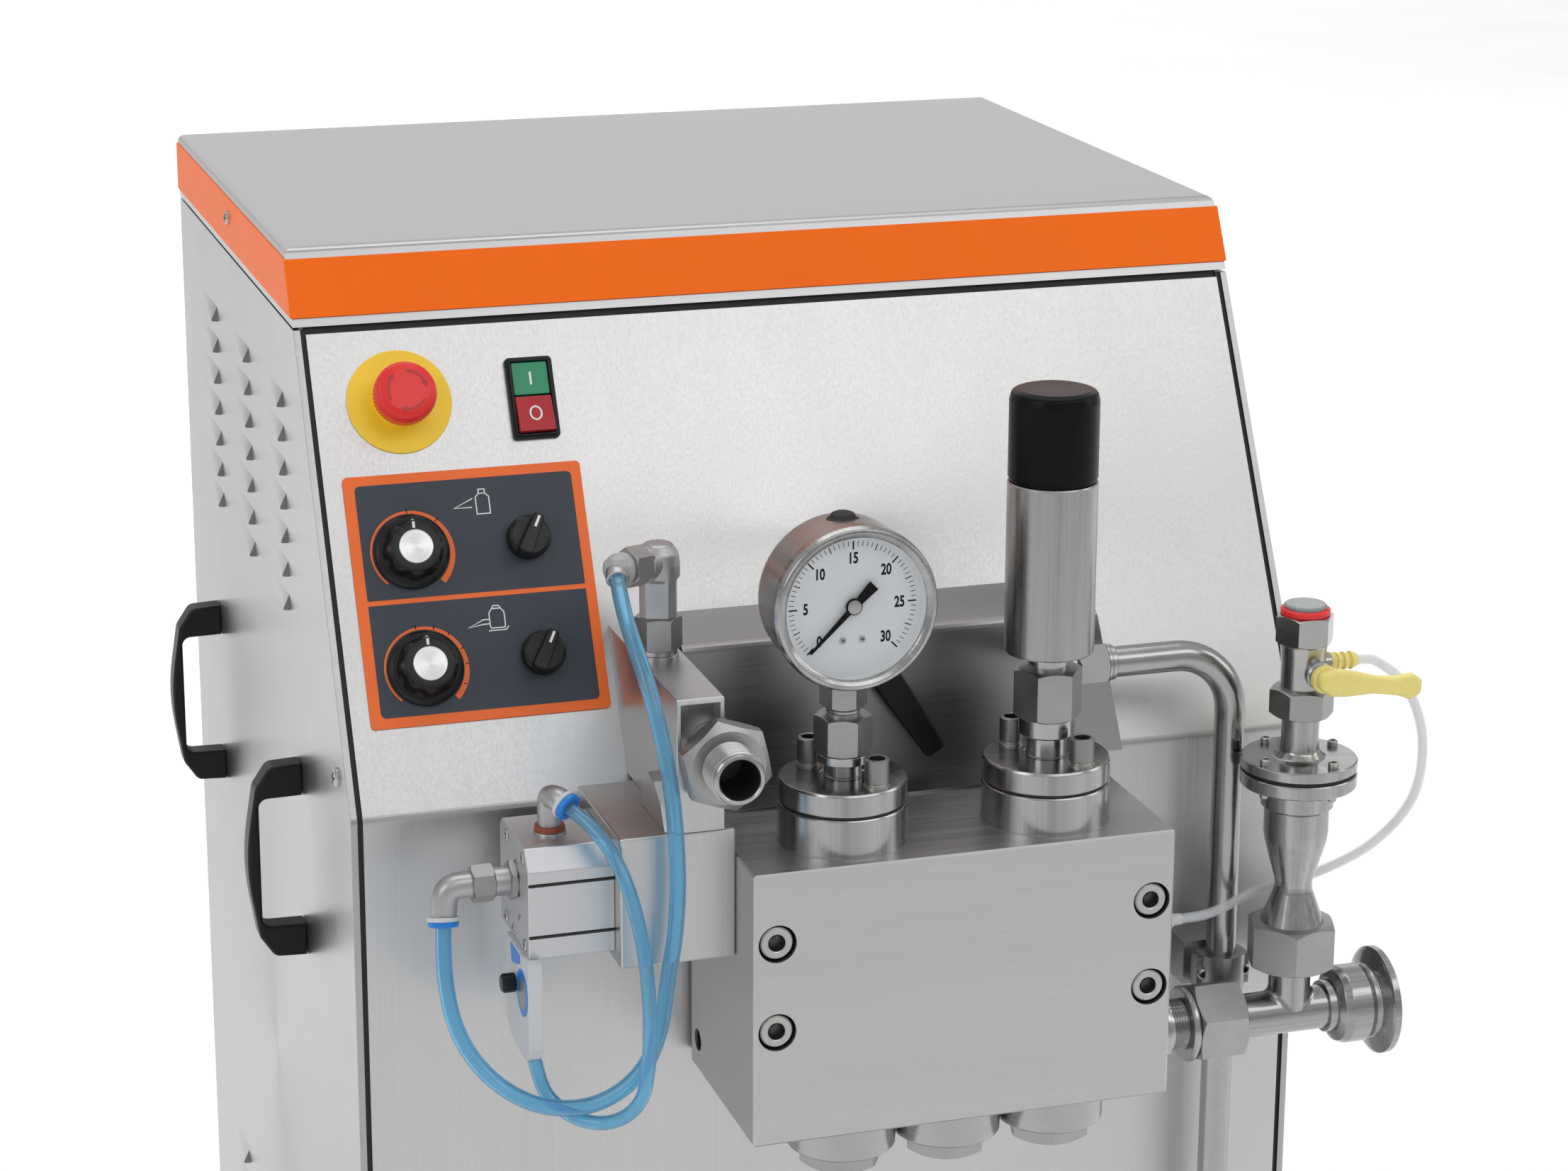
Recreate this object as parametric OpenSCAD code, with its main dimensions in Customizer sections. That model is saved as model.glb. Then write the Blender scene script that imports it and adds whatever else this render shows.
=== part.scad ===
// Dairy homogenizer: sheet-steel cabinet with a sloped control front, a
// three-plunger pump head on the lower front, gauge, relief valve, air-loaded
// homogenizing valve and a product inlet with a vent column.
// Millimetres, +Z up, front towards -Y, origin under the middle of the outline.

/* [Cabinet] */
// Width over the side panels
cab_w = 580; // [540:2:620]
// Depth of the top cover
cover_d = 404; // [380:2:440]
// Height over all, feet included
cab_h = 1150; // [1100:5:1250]
// Height of the top cover
cover_h = 42; // [38:1:48]
// Lower edge of the coloured band below the cover top
band_low = 37; // [30:1:40]
// Angle of the sloped front from the vertical
slope_deg = 27.93; // [26:0.01:30]
// Drop of the front bend below the cover top
bend_drop = 294.7; // [285:0.1:305]
// Free height under the base plate
foot_h = 100; // [80:5:140]
// Sheet thickness
sheet = 2; // [1.5:0.5:2.5]

/* [Controls] */
// Diameter of the yellow plate of the emergency stop
estop_plate_d = 61; // [56:1:66]
// Diameter of the large dials
dial_d = 43; // [38:1:46]
// Diameter of the selector knobs
selector_d = 25; // [20:1:28]

/* [Pump head] */
// Height of the head block
head_h = 159.5; // [150:0.5:165]
// Diameter of the two port flanges
flange_d = 72.6; // [66:0.2:76]
// Diameter of the plungers
plunger_d = 24; // [18:1:28]
// Half of the plunger stroke
half_stroke = 10; // [6:1:10]

/* [Gauge and relief valve] */
// Diameter of the gauge over the bezel
gauge_d = 93.2; // [88:0.2:98]
// Diameter of the relief valve body
relief_d = 50.4; // [46:0.2:54]
// Diameter of the return pipe
pipe_d = 18; // [12:0.5:22]

/* [Product inlet] */
// Diameter of the clamp ferrule
ferrule_d = 64; // [60:0.5:66]
// Bore of the clamp ferrule
ferrule_bore = 38; // [30:1:44]
// Diameter of the vent column flanges
vent_flange_d = 68; // [60:1:74]

/* [Tubes] */
// Diameter of the air tubes
air_tube_1_d = 9; // [6:0.5:12]
air_tube_2_d = 8; // [6:0.5:10]
// Diameter of the clear vent hose
vent_hose_d = 6; // [5:0.5:8]

/* [Hidden] */
$fn = 48;

// The parts are drawn with x = 0 in the cabinet middle, y = 0 at the front top
// edge of the cover and z = 0 at the cover top, then shifted to the floor.
shift_y = -64;
hw = cab_w / 2;
k = tan(slope_deg);
cs = cos(slope_deg);
y_low = -bend_drop * k;
z_base = foot_h - cab_h;
side_t = 4;
bend_r = 10;
bend_t = bend_r * tan(slope_deg / 2);

// pump head block
hx0 = -95.8; hx1 = 150.7;
hy0 = -288; hy1 = -164.6;
hz1 = -299.7; hz0 = hz1 - head_h;
px = [-32.5, 30.5, 93.5];
pz = -385;
ports = [[-31, -243.5], [89.5, -243.5]];
scr = [[-12, 23], [12, -23]];
bolts = [[-82.3, -340.4], [-82.3, -392.2], [137.4, -340.4], [137.4, -392.2]];
crank_y = -20;

// suction line
sy = -225.8; sz = -447; vx = 254.8;

// routes of the free tubes
route1 = [[-145, -193, -155.5], [-146.4, -203, -161], [-147.5, -217, -168.8], [-147.2, -231, -178.4],
  [-145.1, -244.5, -191.8], [-142.2, -256, -209.4], [-139.6, -264, -228], [-137.2, -269, -248],
  [-135.4, -271.5, -270], [-134.2, -272, -292], [-134, -271.5, -314], [-135.6, -270.5, -338],
  [-138.2, -269.4, -356], [-140.5, -269, -373], [-144.2, -270.3, -390.6], [-151.1, -271.4, -406.8],
  [-161.9, -270.1, -420], [-175.5, -266.9, -429.2], [-190.6, -262.1, -433.6], [-206.3, -256.1, -433],
  [-221.1, -249.3, -427.3], [-234.1, -242.2, -417], [-244.1, -235.5, -403], [-250.3, -228.6, -385.2],
  [-252.4, -221.2, -362], [-251, -214, -338]];
route2 = [[-183, -228, -272], [-174.5, -241.5, -278.5], [-166.5, -254.5, -290], [-160.5, -265, -306],
  [-156.5, -273.5, -326], [-154, -279.5, -349], [-153.2, -282.6, -372], [-153.6, -283.8, -392],
  [-154.8, -284, -409], [-157.3, -282.1, -423], [-163.8, -276.7, -434.6], [-173.3, -268.8, -441.7],
  [-184.3, -259.7, -443.2], [-194.7, -251, -438.8], [-202.9, -244.2, -429.2], [-207.6, -240.3, -411]];
route3 = [[289, -225, -232], [303, -225, -235], [323, -225, -253], [336, -225, -285],
  [333, -222, -322], [312, -213, -352], [281, -203, -371], [246, -199, -379],
  [218, -214, -381],
  [200, -223, -381], [184, -225, -381]];

function arc(cy, cz, r, a0, a1, n) =
  [for (i = [0:n]) let (a = a0 + (a1 - a0) * i / n) [cy + r * cos(a), cz + r * sin(a)]];
function unit(v) = v / norm(v);

module at() translate([0, shift_y, cab_h]) children();
// outline in y, z drawn out along x
module along_x(x0, x1) translate([x0, 0, 0]) rotate([90, 0, 90]) linear_extrude(x1 - x0) children();
// outline in x, z drawn out along y
module along_y(y0, y1) translate([0, y1, 0]) rotate([90, 0, 0]) linear_extrude(y1 - y0) children();
module along_z(z0, z1) translate([0, 0, z0]) linear_extrude(z1 - z0) children();
module box(x0, x1, y0, y1, z0, z1) translate([x0, y0, z0]) cube([x1 - x0, y1 - y0, z1 - z0]);
module cx(x0, x1, y, z, r) translate([x0, y, z]) rotate([0, 90, 0]) cylinder(h = x1 - x0, r = r);
module cy(y0, y1, x, z, r) translate([x, y1, z]) rotate([90, 0, 0]) cylinder(h = y1 - y0, r = r);
module cz(z0, z1, x, y, r) translate([x, y, z0]) cylinder(h = z1 - z0, r = r);
module hex_z(z0, z1, x, y, r) translate([x, y, z0]) cylinder(h = z1 - z0, r = r, $fn = 6);
module hex_x(x0, x1, y, z, r) translate([x0, y, z]) rotate([0, 90, 0]) cylinder(h = x1 - x0, r = r, $fn = 6);
module hex_y(y0, y1, x, z, r) translate([x, y1, z]) rotate([90, 0, 0]) cylinder(h = y1 - y0, r = r, $fn = 6);
// rod from a to b
module rod(a, b, r) {
  d = b - a;
  translate(a) rotate([0, acos(d[2] / norm(d)), atan2(d[1], d[0])]) cylinder(h = norm(d), r = r);
}
module hexrod(a, b, r) {
  d = b - a;
  translate(a) rotate([0, acos(d[2] / norm(d)), atan2(d[1], d[0])]) cylinder(h = norm(d), r = r, $fn = 6);
}
// on the sloped front: x across, z level; local z points out of the panel
module on_slope(x, z) translate([x, k * z, z]) rotate([90 - slope_deg, 0, 0]) children();
module cut_corner(a0, a1, b0, b1, c)
  polygon([[a0 + c, b0], [a1 - c, b0], [a1, b0 + c], [a1, b1 - c], [a1 - c, b1], [a0 + c, b1], [a0, b1 - c], [a0, b0 + c]]);
module edged_block(x0, x1, y0, y1, z0, z1, c) intersection() {
  along_x(x0, x1) cut_corner(y0, y1, z0, z1, c);
  along_y(y0, y1) cut_corner(x0, x1, z0, z1, c);
  along_z(z0, z1) cut_corner(x0, x1, y0, y1, c);
}
// round tube swept through a list of points
module tube(p, d, n = 8) {
  m = len(p);
  t = [for (i = [0:m - 1]) unit(p[min(i + 1, m - 1)] - p[max(i - 1, 0)])];
  u = [for (i = [0:m - 1]) unit(cross(t[i], [0.1, 1, 0.25]))];
  v = [for (i = [0:m - 1]) cross(t[i], u[i])];
  pts = [for (i = [0:m - 1]) for (j = [0:n - 1]) p[i] + d / 2 * (cos(360 * j / n) * u[i] + sin(360 * j / n) * v[i])];
  polyhedron(points = pts, faces = concat(
    [[for (j = [n - 1:-1:0]) j]],
    [for (i = [0:m - 2]) for (j = [0:n - 1]) [i * n + j, i * n + (j + 1) % n, (i + 1) * n + j]],
    [for (i = [0:m - 2]) for (j = [0:n - 1]) [i * n + (j + 1) % n, (i + 1) * n + (j + 1) % n, (i + 1) * n + j]],
    [[for (j = [0:n - 1]) (m - 1) * n + j]]));
}

// ---- cabinet ----
module side_outline(o, zt) polygon(concat(
  [[404 - o, zt], [404 - o, z_base + o], [y_low + o, z_base + o]],
  arc(y_low + bend_r, -bend_drop - bend_t, bend_r - o, 180, 180 - slope_deg, 4),
  [[k * zt + o / cs, zt]]));

module base_frame() color("silver") difference() {
  union() {
    for (m = [0, 1]) mirror([m, 0, 0]) along_x(-hw + side_t, -hw + side_t + 6) difference() {
      polygon([[400, -3.5], [400, z_base], [y_low + 3, z_base], [y_low + 3, -bend_drop - bend_t], [-12 * k + 3.4, -12], [9, -3.5]]);
      polygon([[368, -40], [368, z_base + 34], [y_low + 36, z_base + 34], [y_low + 36, -bend_drop - 10], [22, -40]]);
    }
    box(-hw + side_t, hw - side_t, y_low + 3, 401, z_base, z_base + 4);
    for (y = [9, 368]) box(-hw + side_t + 2, hw - side_t - 2, y, y + 30, -32, -2);
    for (y = [y_low + 3, 371]) box(-hw + side_t, hw - side_t, y, y + 30, z_base, z_base + 30);
    // shelf under the crankcase
    box(-hw + side_t, hw - side_t, y_low + 3, 100, -478, -470);
  }
  // motor passes through the shelf
  cz(-500, -460, 194, crank_y, 44);
}

module levelling_feet() color("dimgray")
  for (x = [-238, 238]) for (y = [-118, 362]) {
    cz(-cab_h, -cab_h + 12, x, y, 30);
    translate([x, y, -cab_h + 12]) cylinder(h = 10, r1 = 26, r2 = 12);
    cz(-cab_h + 20, z_base, x, y, 8);
    hex_z(z_base - 14, z_base, x, y, 15);
  }

// handles: y and z of their middle
handles = [[4, -372.5], [300, -361]];
module louvre_slat(zb) polygon([[-hw + 1, zb + 10.5], [-hw, zb + 10.5], [-hw - 4.6, zb], [-hw - 3.2, zb], [-hw + 1, zb + 8.6]]);
module louvre_slot(zb) polygon([[-hw - 1, zb + 0.5], [-hw + 3, zb + 0.5], [-hw + 3, zb + 7], [-hw - 1, zb + 7]]);
module side_panel() {
  difference() {
    along_x(-hw, -hw + side_t) side_outline(0, -cover_h - 1.5);
    along_x(-hw + sheet, -hw + side_t + 1) polygon([[388, -60], [388, z_base + 16], [y_low + 16, z_base + 16], [y_low + 16, -bend_drop], [-12, -60]]);
    for (y = [20, 139, 260]) along_y(y, y + 63) for (g = [-99, -692]) for (i = [0:6]) louvre_slot(g - 20.7 * i);
    for (h = handles) for (z = [-51, 51]) cx(-hw - 1, -hw + side_t + 1, h[0], h[1] + z, 4.2);
  }
  for (y = [20, 139, 260]) along_y(y, y + 63) for (g = [-99, -692]) for (i = [0:6]) louvre_slat(g - 20.7 * i);
}
module left_side_panel() color("lightgray") side_panel();
module right_side_panel() color("lightgray") mirror([1, 0, 0]) side_panel();

module rear_panel() color("lightgray") {
  difference() {
    box(-hw + side_t + 0.3, hw - side_t - 0.3, 402, 404, z_base, -cover_h - 1.5);
    for (x = [-150, 0, 150]) for (i = [0:7]) box(x - 50, x + 50, 400, 406, -640 - 22 * i, -634 - 22 * i);
    cy(400, 406, -200, -980, 8);
  }
  difference() {
    union() { hex_y(404, 408, -200, -980, 13); cy(404, 418, -200, -980, 10); }
    cy(400, 420, -200, -980, 6.5);
  }
}

module front_outline(o) polygon(concat(
  [[y_low + o, z_base + 5]], arc(y_low + bend_r, -bend_drop - bend_t, bend_r - o, 180, 180 - slope_deg, 4),
  [[-46 * k + o / cs, -46]],
  [[-46 * k + (o + sheet) / cs, -46]],
  arc(y_low + bend_r, -bend_drop - bend_t, bend_r - o - sheet, 180 - slope_deg, 180, 4),
  [[y_low + o + sheet, z_base + 5]]));
module front_panel() color("gainsboro") difference() {
  along_x(-hw + side_t + 3, hw - side_t - 3) front_outline(0);
  // opening for the crankcase nose
  box(-92.5, 147.5, y_low - 5, y_low + 6, -452, -308);
  on_slope(-234, -84.2) translate([0, 0, -6]) cylinder(h = 12, r = 10.8);
  on_slope(-156.5, -87.2) translate([-12.5, -22.5, -6]) cube([25, 45, 12]);
  for (z = [-162.3, -221.8]) on_slope(-237.8, z) translate([0, 0, -6]) cylinder(h = 12, r = 3.6);
  for (z = [-160, -219.6]) on_slope(-169.8, z) translate([0, 0, -6]) cylinder(h = 12, r = 4.4);
}

module cover_outline(o) polygon(concat(
  [[-cover_h * k + o / cs, -cover_h - (o > 0 ? 1 : 0)]],
  arc(3.01, -5, 5 - o, 180 - slope_deg, 90, 4),
  arc(cover_d - 5, -5, 5 - o, 90, 0, 4),
  [[cover_d - o, -cover_h - (o > 0 ? 1 : 0)]]));
module cover_face(o) polygon(concat(
  [[-hw + o, -cover_h - 1]], arc(-hw + 5, -5, 5 - o, 180, 90, 4), arc(hw - 5, -5, 5 - o, 90, 0, 4), [[hw - o, -cover_h - 1]]));
module top_cover() color("darkgray") difference() {
  intersection() { along_x(-hw, hw) cover_outline(0); along_y(-60, 460) cover_face(0); }
  intersection() { along_x(-hw, hw) cover_outline(sheet); along_y(-60, 460) cover_face(sheet); }
}

module band_outline(o) polygon([[-6 * k - o / cs, -6], [cover_d + o, -6], [cover_d + o, -band_low], [-band_low * k - o / cs, -band_low]]);
module orange_band() color("darkorange") difference() {
  along_x(-hw - 1, hw + 1) band_outline(1);
  along_x(-hw, hw) polygon([[-5 * k, -5], [cover_d, -5], [cover_d, -50], [-50 * k, -50]]);
}

module handle() difference() {
  along_y(-8, 8) difference() {
    polygon([[-hw, -61], [-hw - 19, -60.2], [-hw - 23.5, -57.5], [-hw - 28, -47.5], [-hw - 32.6, -32], [-hw - 35.5, -14], [-hw - 36, 0], [-hw - 35.5, 14], [-hw - 32.6, 32], [-hw - 28, 47.5], [-hw - 23.5, 57.5], [-hw - 19, 60.2], [-hw, 61]]);
    polygon([[-hw + 1, -41.4], [-hw - 21, -41], [-hw - 25, -39.6], [-hw - 26.6, -36], [-hw - 27, 0], [-hw - 26.6, 36], [-hw - 25, 39.6], [-hw - 21, 41], [-hw + 1, 41.4]]);
  }
  for (z = [-51, 51]) cx(-hw - 13, -hw + 1, 0, z, 3.3);
}
module side_handles() color("black")
  for (m = [0, 1]) mirror([m, 0, 0]) for (h = handles) translate([0, h[0], h[1]]) handle();

// ---- hood over the plungers ----
module hood_section(o) polygon(concat(
  [[-204 * k + (o > 0 ? 12 : 0), -204 - o + (o > 0 ? 1.7 : 0)]],
  arc(-152.5, -214.4, 5 - o, 98, 180, 4),
  [[-157.5 + o, hz1 + 1.5], [y_low + (o > 0 ? 4 : 0), hz1 + 1.5]],
  arc(y_low + bend_r, -bend_drop - bend_t, bend_r - (o > 0 ? 4 : 0), 180, 180 - slope_deg, 4)));
module hood_front(o) polygon(concat(
  [[-98 + o, hz1 + 1.5 - (o > 0 ? 1 : 0)], [-98 + o, -190]],
  [[146, -190]],
  arc(146, -212, 8 - o, 90, 11, 4),
  [[173 - o, hz1 + 1.5 - (o > 0 ? 1 : 0)]]));
module plunger_hood() color("gray") {
  difference() {
    intersection() { along_x(-98, 180) hood_section(0); along_y(-170, -90) hood_front(0); }
    intersection() { along_x(-96.5, 180) hood_section(1.5); along_y(-170, -80) hood_front(1.5); }
  }
  // lip resting on the head block
  box(hx0 + 1, hx1 - 1, -190, y_low, hz1, hz1 + 1.5);
  // stud of the lever
  cy(-172, -157, 9.4, -221, 5);
}
module hood_lever() color("black") difference() {
  union() {
    cy(-176, -160, 9.4, -221, 9);
    translate([9.4, -176, -221]) rotate([0, 56.2, 0]) rotate([-90, 0, 0]) linear_extrude(9)
      polygon([[0, -8.5], [66, -5], [72, -2.5], [72, 2.5], [66, 5], [0, 8.5]]);
  }
  cy(-172.4, -159, 9.4, -221, 5.4);
}

// ---- controls ----
module control_plate() color("darkorange") difference() {
  on_slope(-202.9, -185.9) translate([-69.4, -72.8, 0]) cube([138.8, 145.6, 1.5]);
  for (z = [-162.3, -221.8]) on_slope(-237.8, z) translate([0, 0, -6]) cylinder(h = 12, r = 3.6);
  for (z = [-160, -219.6]) on_slope(-169.8, z) translate([0, 0, -6]) cylinder(h = 12, r = 4.4);
}
module estop_plate() color("gold") on_slope(-234, -84.2) difference() {
  union() { cylinder(h = 1.4, r = estop_plate_d / 2); cylinder(h = 6, r = 15); }
  translate([0, 0, -1]) cylinder(h = 9, r = 10.6);
}
module estop_stem() color("dimgray") on_slope(-234, -84.2) translate([0, 0, -38]) cylinder(h = 54, r = 10.2);
module estop_head() color("red") on_slope(-234, -84.2) rotate_extrude()
  polygon([[10.6, 11.5], [16.4, 11.5], [17.5, 12.8], [17.5, 17.8], [18.1, 18.7], [18.1, 22.2], [16.8, 26.2], [12.6, 28], [0, 28.4], [0, 16.4], [10.6, 16.4]]);
module switch_frame() color("black") on_slope(-156.5, -87.2) difference() {
  union() {
    translate([-12.2, -22.2, -26]) cube([24.4, 44.4, 27]);
    translate([-13.95, -24.35, 0]) cube([27.9, 48.7, 4]);
  }
  translate([-10.9, 1.4, -12]) cube([21.8, 20, 20]);
  translate([-10.9, -21.2, -12]) cube([21.8, 22, 20]);
}
module start_button() color("green") on_slope(-156.5, -87.2) translate([-10.6, 1.7, -7.5]) cube([21.2, 19.4, 10.5]);
module stop_button() color("red") on_slope(-156.5, -87.2) translate([-10.6, -20.9, -7.5]) cube([21.2, 21.4, 13.5]);
module dial() {
  translate([0, 0, -12]) cylinder(h = 14, r = 3.2);
  translate([0, 0, 1.8]) cylinder(h = 3.2, r = dial_d / 2);
  translate([0, 0, 5]) cylinder(h = 1.4, r1 = dial_d / 2, r2 = dial_d / 2 - 3);
  translate([0, 0, 6]) linear_extrude(11) polygon([for (i = [0:71]) let (r = 15.9 + 0.9 * cos(45 * i)) [r * cos(5 * i), r * sin(5 * i)]]);
  translate([0, 0, 17]) cylinder(h = 1, r = 10.3);
}
module upper_dial() color("black") on_slope(-237.8, -162.3) dial();
module lower_dial() color("black") on_slope(-237.8, -221.8) dial();
module selector() {
  translate([0, 0, -10]) cylinder(h = 12, r = 4);
  translate([0, 0, 1.8]) cylinder(h = 4, r = selector_d / 2);
  intersection() {
    translate([0, 0, 5]) cylinder(h = 12, r = selector_d / 2 - 0.4);
    rotate([0, 0, -28]) translate([-4, -20, 5]) cube([8, 40, 12]);
  }
}
module upper_selector() color("black") on_slope(-169.8, -160) selector();
module lower_selector() color("black") on_slope(-169.8, -219.6) selector();

// ---- pump head ----
module pump_head() color("silver") difference() {
  edged_block(hx0, hx1, hy0, hy1, hz0, hz1, 1.2);
  for (x = px) {
    cy(-275, hy1 + 1, x, pz, plunger_d / 2 + 0.4);
    cy(-190, hy1 + 1, x, pz, 18);
    cz(hz0 - 1, -440, x, -250, 24);
    cz(-441, pz, x, -250, 11);
    cz(pz, -325, x, -243.5, 6);
  }
  for (p = ports) cz(-325, hz1 + 1, p[0], p[1], 8);
  for (p = ports) for (q = scr) cz(hz1 - 20, hz1 + 1, p[0] + q[0], p[1] + q[1], 4.2);
  cx(hx0 - 1, 110, -243.5, -325, 7);
  cx(-60, hx1 + 1, sy, sz, 12.5);
  for (b = bolts) { cy(hy0 - 1, hy1 + 1, b[0], b[1], 6.4); cy(hy0 - 1, hy0 + 13, b[0], b[1], 10.9); }
  cx(hx0 - 1, hx0 + 25, -178.8, -440.5, 6.5);
  cx(hx1 - 10, hx1 + 1, -225, -381, 4);
}
module gaskets() color("black") {
  difference() {
    box(hx0 + 2.5, hx1 - 2.5, hy1, y_low, hz0 + 4, hz1 - 2.5);
    for (x = px) cy(hy1 - 1, y_low + 1, x, pz, 16);
    for (b = bolts) cy(hy1 - 1, y_low + 1, b[0], b[1], 6.6);
  }
  for (x = px) difference() { cy(-190, -166, x, pz, 18); cy(-191, -165, x, pz, plunger_d / 2 + 0.4); }
  difference() { cz(-295.5, -293.5, vx, sy, vent_flange_d / 2 - 1.5); cz(-296, -293, vx, sy, 10); }
}
module cap_screws() color("silver") {
  for (b = bolts) difference() {
    union() { cy(hy0 + 1, hy0 + 13, b[0], b[1], 9.5); cy(hy0 + 12, -132, b[0], b[1], 6); }
    hex_y(hy0 - 1, hy0 + 8, b[0], b[1], 5.6);
  }
  for (p = ports) for (q = scr) difference() {
    union() {
      cz(-261, -247, p[0] + q[0], p[1] + q[1], 7);
      cz(-263, -261, p[0] + q[0], p[1] + q[1], 6.6);
      cz(hz1 - 18, -262, p[0] + q[0], p[1] + q[1], 4);
    }
    hex_z(-254, -246, p[0] + q[0], p[1] + q[1], 4.6);
  }
}
module port_flanges() color("silver") for (p = ports) difference() {
  union() {
    cz(hz1, -277.2, p[0], p[1], flange_d / 2);
    cz(-278, -275, p[0], p[1], flange_d / 2 - 1.5);
    cz(-276.2, -263.8, p[0], p[1], flange_d / 2 - 0.4);
    translate([p[0], p[1], -263.8]) cylinder(h = 0.8, r1 = flange_d / 2 - 0.4, r2 = flange_d / 2 - 1.2);
  }
  cz(-301, -262, p[0], p[1], 8);
  for (q = scr) cz(-301, -262, p[0] + q[0], p[1] + q[1], 4.2);
}
module port_couplings() color("silver") {
  difference() {
    union() {
      cz(-263, -254, ports[0][0], ports[0][1], 10.7);
      cz(-255, -249, ports[0][0], ports[0][1], 14.6);
      hex_z(-249.5, -227, ports[0][0], ports[0][1], 16.4);
      cz(-228, -223, ports[0][0], ports[0][1], 9.6);
    }
    cz(-264, -222, ports[0][0], ports[0][1], 4);
  }
  difference() {
    union() {
      cz(-263, -250, ports[1][0], ports[1][1], 11.5);
      cz(-251, -240, ports[1][0], ports[1][1], 16);
      hex_z(-240.5, -211, ports[1][0], ports[1][1], 19.6);
      cz(-212, -202, ports[1][0], ports[1][1], 11.5);
    }
    cz(-264, -201, ports[1][0], ports[1][1], 4);
  }
}
module suction_plugs() color("silver") for (x = px) {
  difference() { cz(-463, -441, x, -250, 23.8); cz(-455, -440, x, -250, 11); }
  cz(-480, hz0, x, -250, 31);
  hex_z(-491, -479, x, -250, 24.5);
}

// ---- gauge ----
gx = ports[0][0]; gz = -161.5;
module gauge_case() color("silver") {
  difference() {
    union() {
      cy(-262, -226, gx, gz, gauge_d / 2 - 1.6);
      cy(-268, -258, gx, gz, gauge_d / 2);
    }
    cy(-270, -257, gx, gz, 40.6);
    cy(-266.2, -257, gx, gz, 42.5);
    cy(-253, -229, gx, gz, 42.5);
  }
  // dial plate and pointer pivot
  cy(-258, -256, gx, gz, 41);
  cy(-260.2, -257, gx, gz, 1.6);
  difference() {
    hex_z(-223, -200, gx, ports[0][1], 13.2);
    cz(-224, -204, gx, ports[0][1], 3.5);
    cy(-262, -226, gx, gz, 44);
  }
  cz(gz + 44, gz + 48.5, gx, -240, 6);
}
module gauge_pointer() color("black") difference() {
  union() {
    cy(-261.4, -259.6, gx, gz, 4.5);
    translate([gx, -261.2, gz]) rotate([0, -135, 0]) rotate([-90, 0, 0]) linear_extrude(1.2)
      polygon([[-3.2, 16], [-1.6, -2], [-0.5, -35], [0.5, -35], [1.6, -2], [3.2, 16]]);
  }
  cy(-260.5, -259, gx, gz, 1.95);
}
module gauge_glass() color("lightblue", 0.3) cy(-265.8, -263.8, gx, gz, 42.2);

// ---- relief valve ----
rx = ports[1][0]; ry = ports[1][1];
pipe_y = -186.4; pipe_z = -232.8; pipe_x = 228;
module relief_body() color("silver") difference() {
  union() { cz(-202, -104, rx, ry, relief_d / 2); cz(-105, -88, rx, ry, 17.6); }
  cz(-196, -110, rx, ry, 18);
  cz(-203, -195, rx, ry, 4);
}
module relief_cap() color("black") difference() {
  translate([rx, ry, 0]) rotate_extrude()
    polygon([[0, -103.7], [24.4, -103.7], [25, -102.5], [25, -58], [23.6, -54.2], [20.5, -52.4], [0, -52]]);
  cz(-104, -86, rx, ry, 18);
}
module pipe_way(r) {
  cx(rx + 24, 192, pipe_y, pipe_z, r);
  translate([192, pipe_y, pipe_z - 36]) rotate([90, 0, 0]) rotate_extrude(angle = 90) translate([36, 0]) circle(r);
  cz(-700, pipe_z - 36, pipe_x, pipe_y, r);
  rod([rx + 4, -222, pipe_z], [rx + 24, pipe_y, pipe_z], r);
}
module relief_pipe() color("silver") difference() {
  union() {
    pipe_way(pipe_d / 2);
    translate([rx + 24, pipe_y, pipe_z]) sphere(pipe_d / 2);
    hex_x(128, 147, pipe_y, pipe_z, 12.2);
    cx(147, 152, pipe_y, pipe_z, 9.6);
    cy(-226.4, -214, rx, pipe_z, 9.5);
  }
  translate([192, pipe_y, pipe_z - 36]) rotate([90, 0, 0]) rotate_extrude(angle = 90) translate([36, 0]) circle(pipe_d / 2 - 1.5);
  cz(-701, pipe_z - 36, pipe_x, pipe_y, pipe_d / 2 - 1.5);
}
module pipe_clamp() color("gray") difference() {
  union() {
    cz(-444, -421, pipe_x, pipe_y, 14.5);
    box(pipe_x - 17, pipe_x + 17, pipe_y - 4, pipe_y + 4, -442, -423);
    box(208, 240, pipe_y + 9, y_low, -444, -417);
  }
  cz(-450, -410, pipe_x, pipe_y, pipe_d / 2 + 0.15);
}

// ---- homogenizing valve and outlet ----
module valve_housing() color("silver") difference() {
  union() {
    edged_block(-161.5, hx0, -254, -162, -359.2, -284, 0.8);
    along_x(-150, -100) polygon([[-178, -350], [y_low, -350], [y_low, -292], [-178, -292]]);
  }
  cx(-162, -135, -212, -322, 8.4);
  cx(-136, -104, -212, -322, 15);
  cx(-105, -90, -243.5, -325, 7);
}
module outlet_block() color("silver") difference() {
  union() {
    along_x(-129, -102) polygon([[-254, -284], [-254, -209.5], [-252.5, -208], [-208 * k, -208], [-283.5 * k, -283.5], [-283.5 * k, -284]]);
    // neck of the outlet and fin at the foot
    cy(-254, -190, -104, -243.5, 17);
    along_x(-135, -129) polygon([[-250, -284], [-242, -270], [-228, -262], [-216, -260], [-206, -264], [-200, -284]]);
  }
  difference() {
    box(-126.5, -104.5, -256, -238, -236, -211);
    cy(-260, -190, -104, -243.5, 17);
  }
  cy(-256, -200, -104, -243.5, 11);
}
module outlet_union() color("silver") difference() {
  union() {
    hex_y(-269, -254.5, -104, -243.5, 26.6);
    cy(-290, -254, -104, -243.5, 15.2);
    cy(-254.5, -254, -104, -243.5, 16.5);
  }
  cy(-291, -253, -104, -243.5, 11.6);
}
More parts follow.
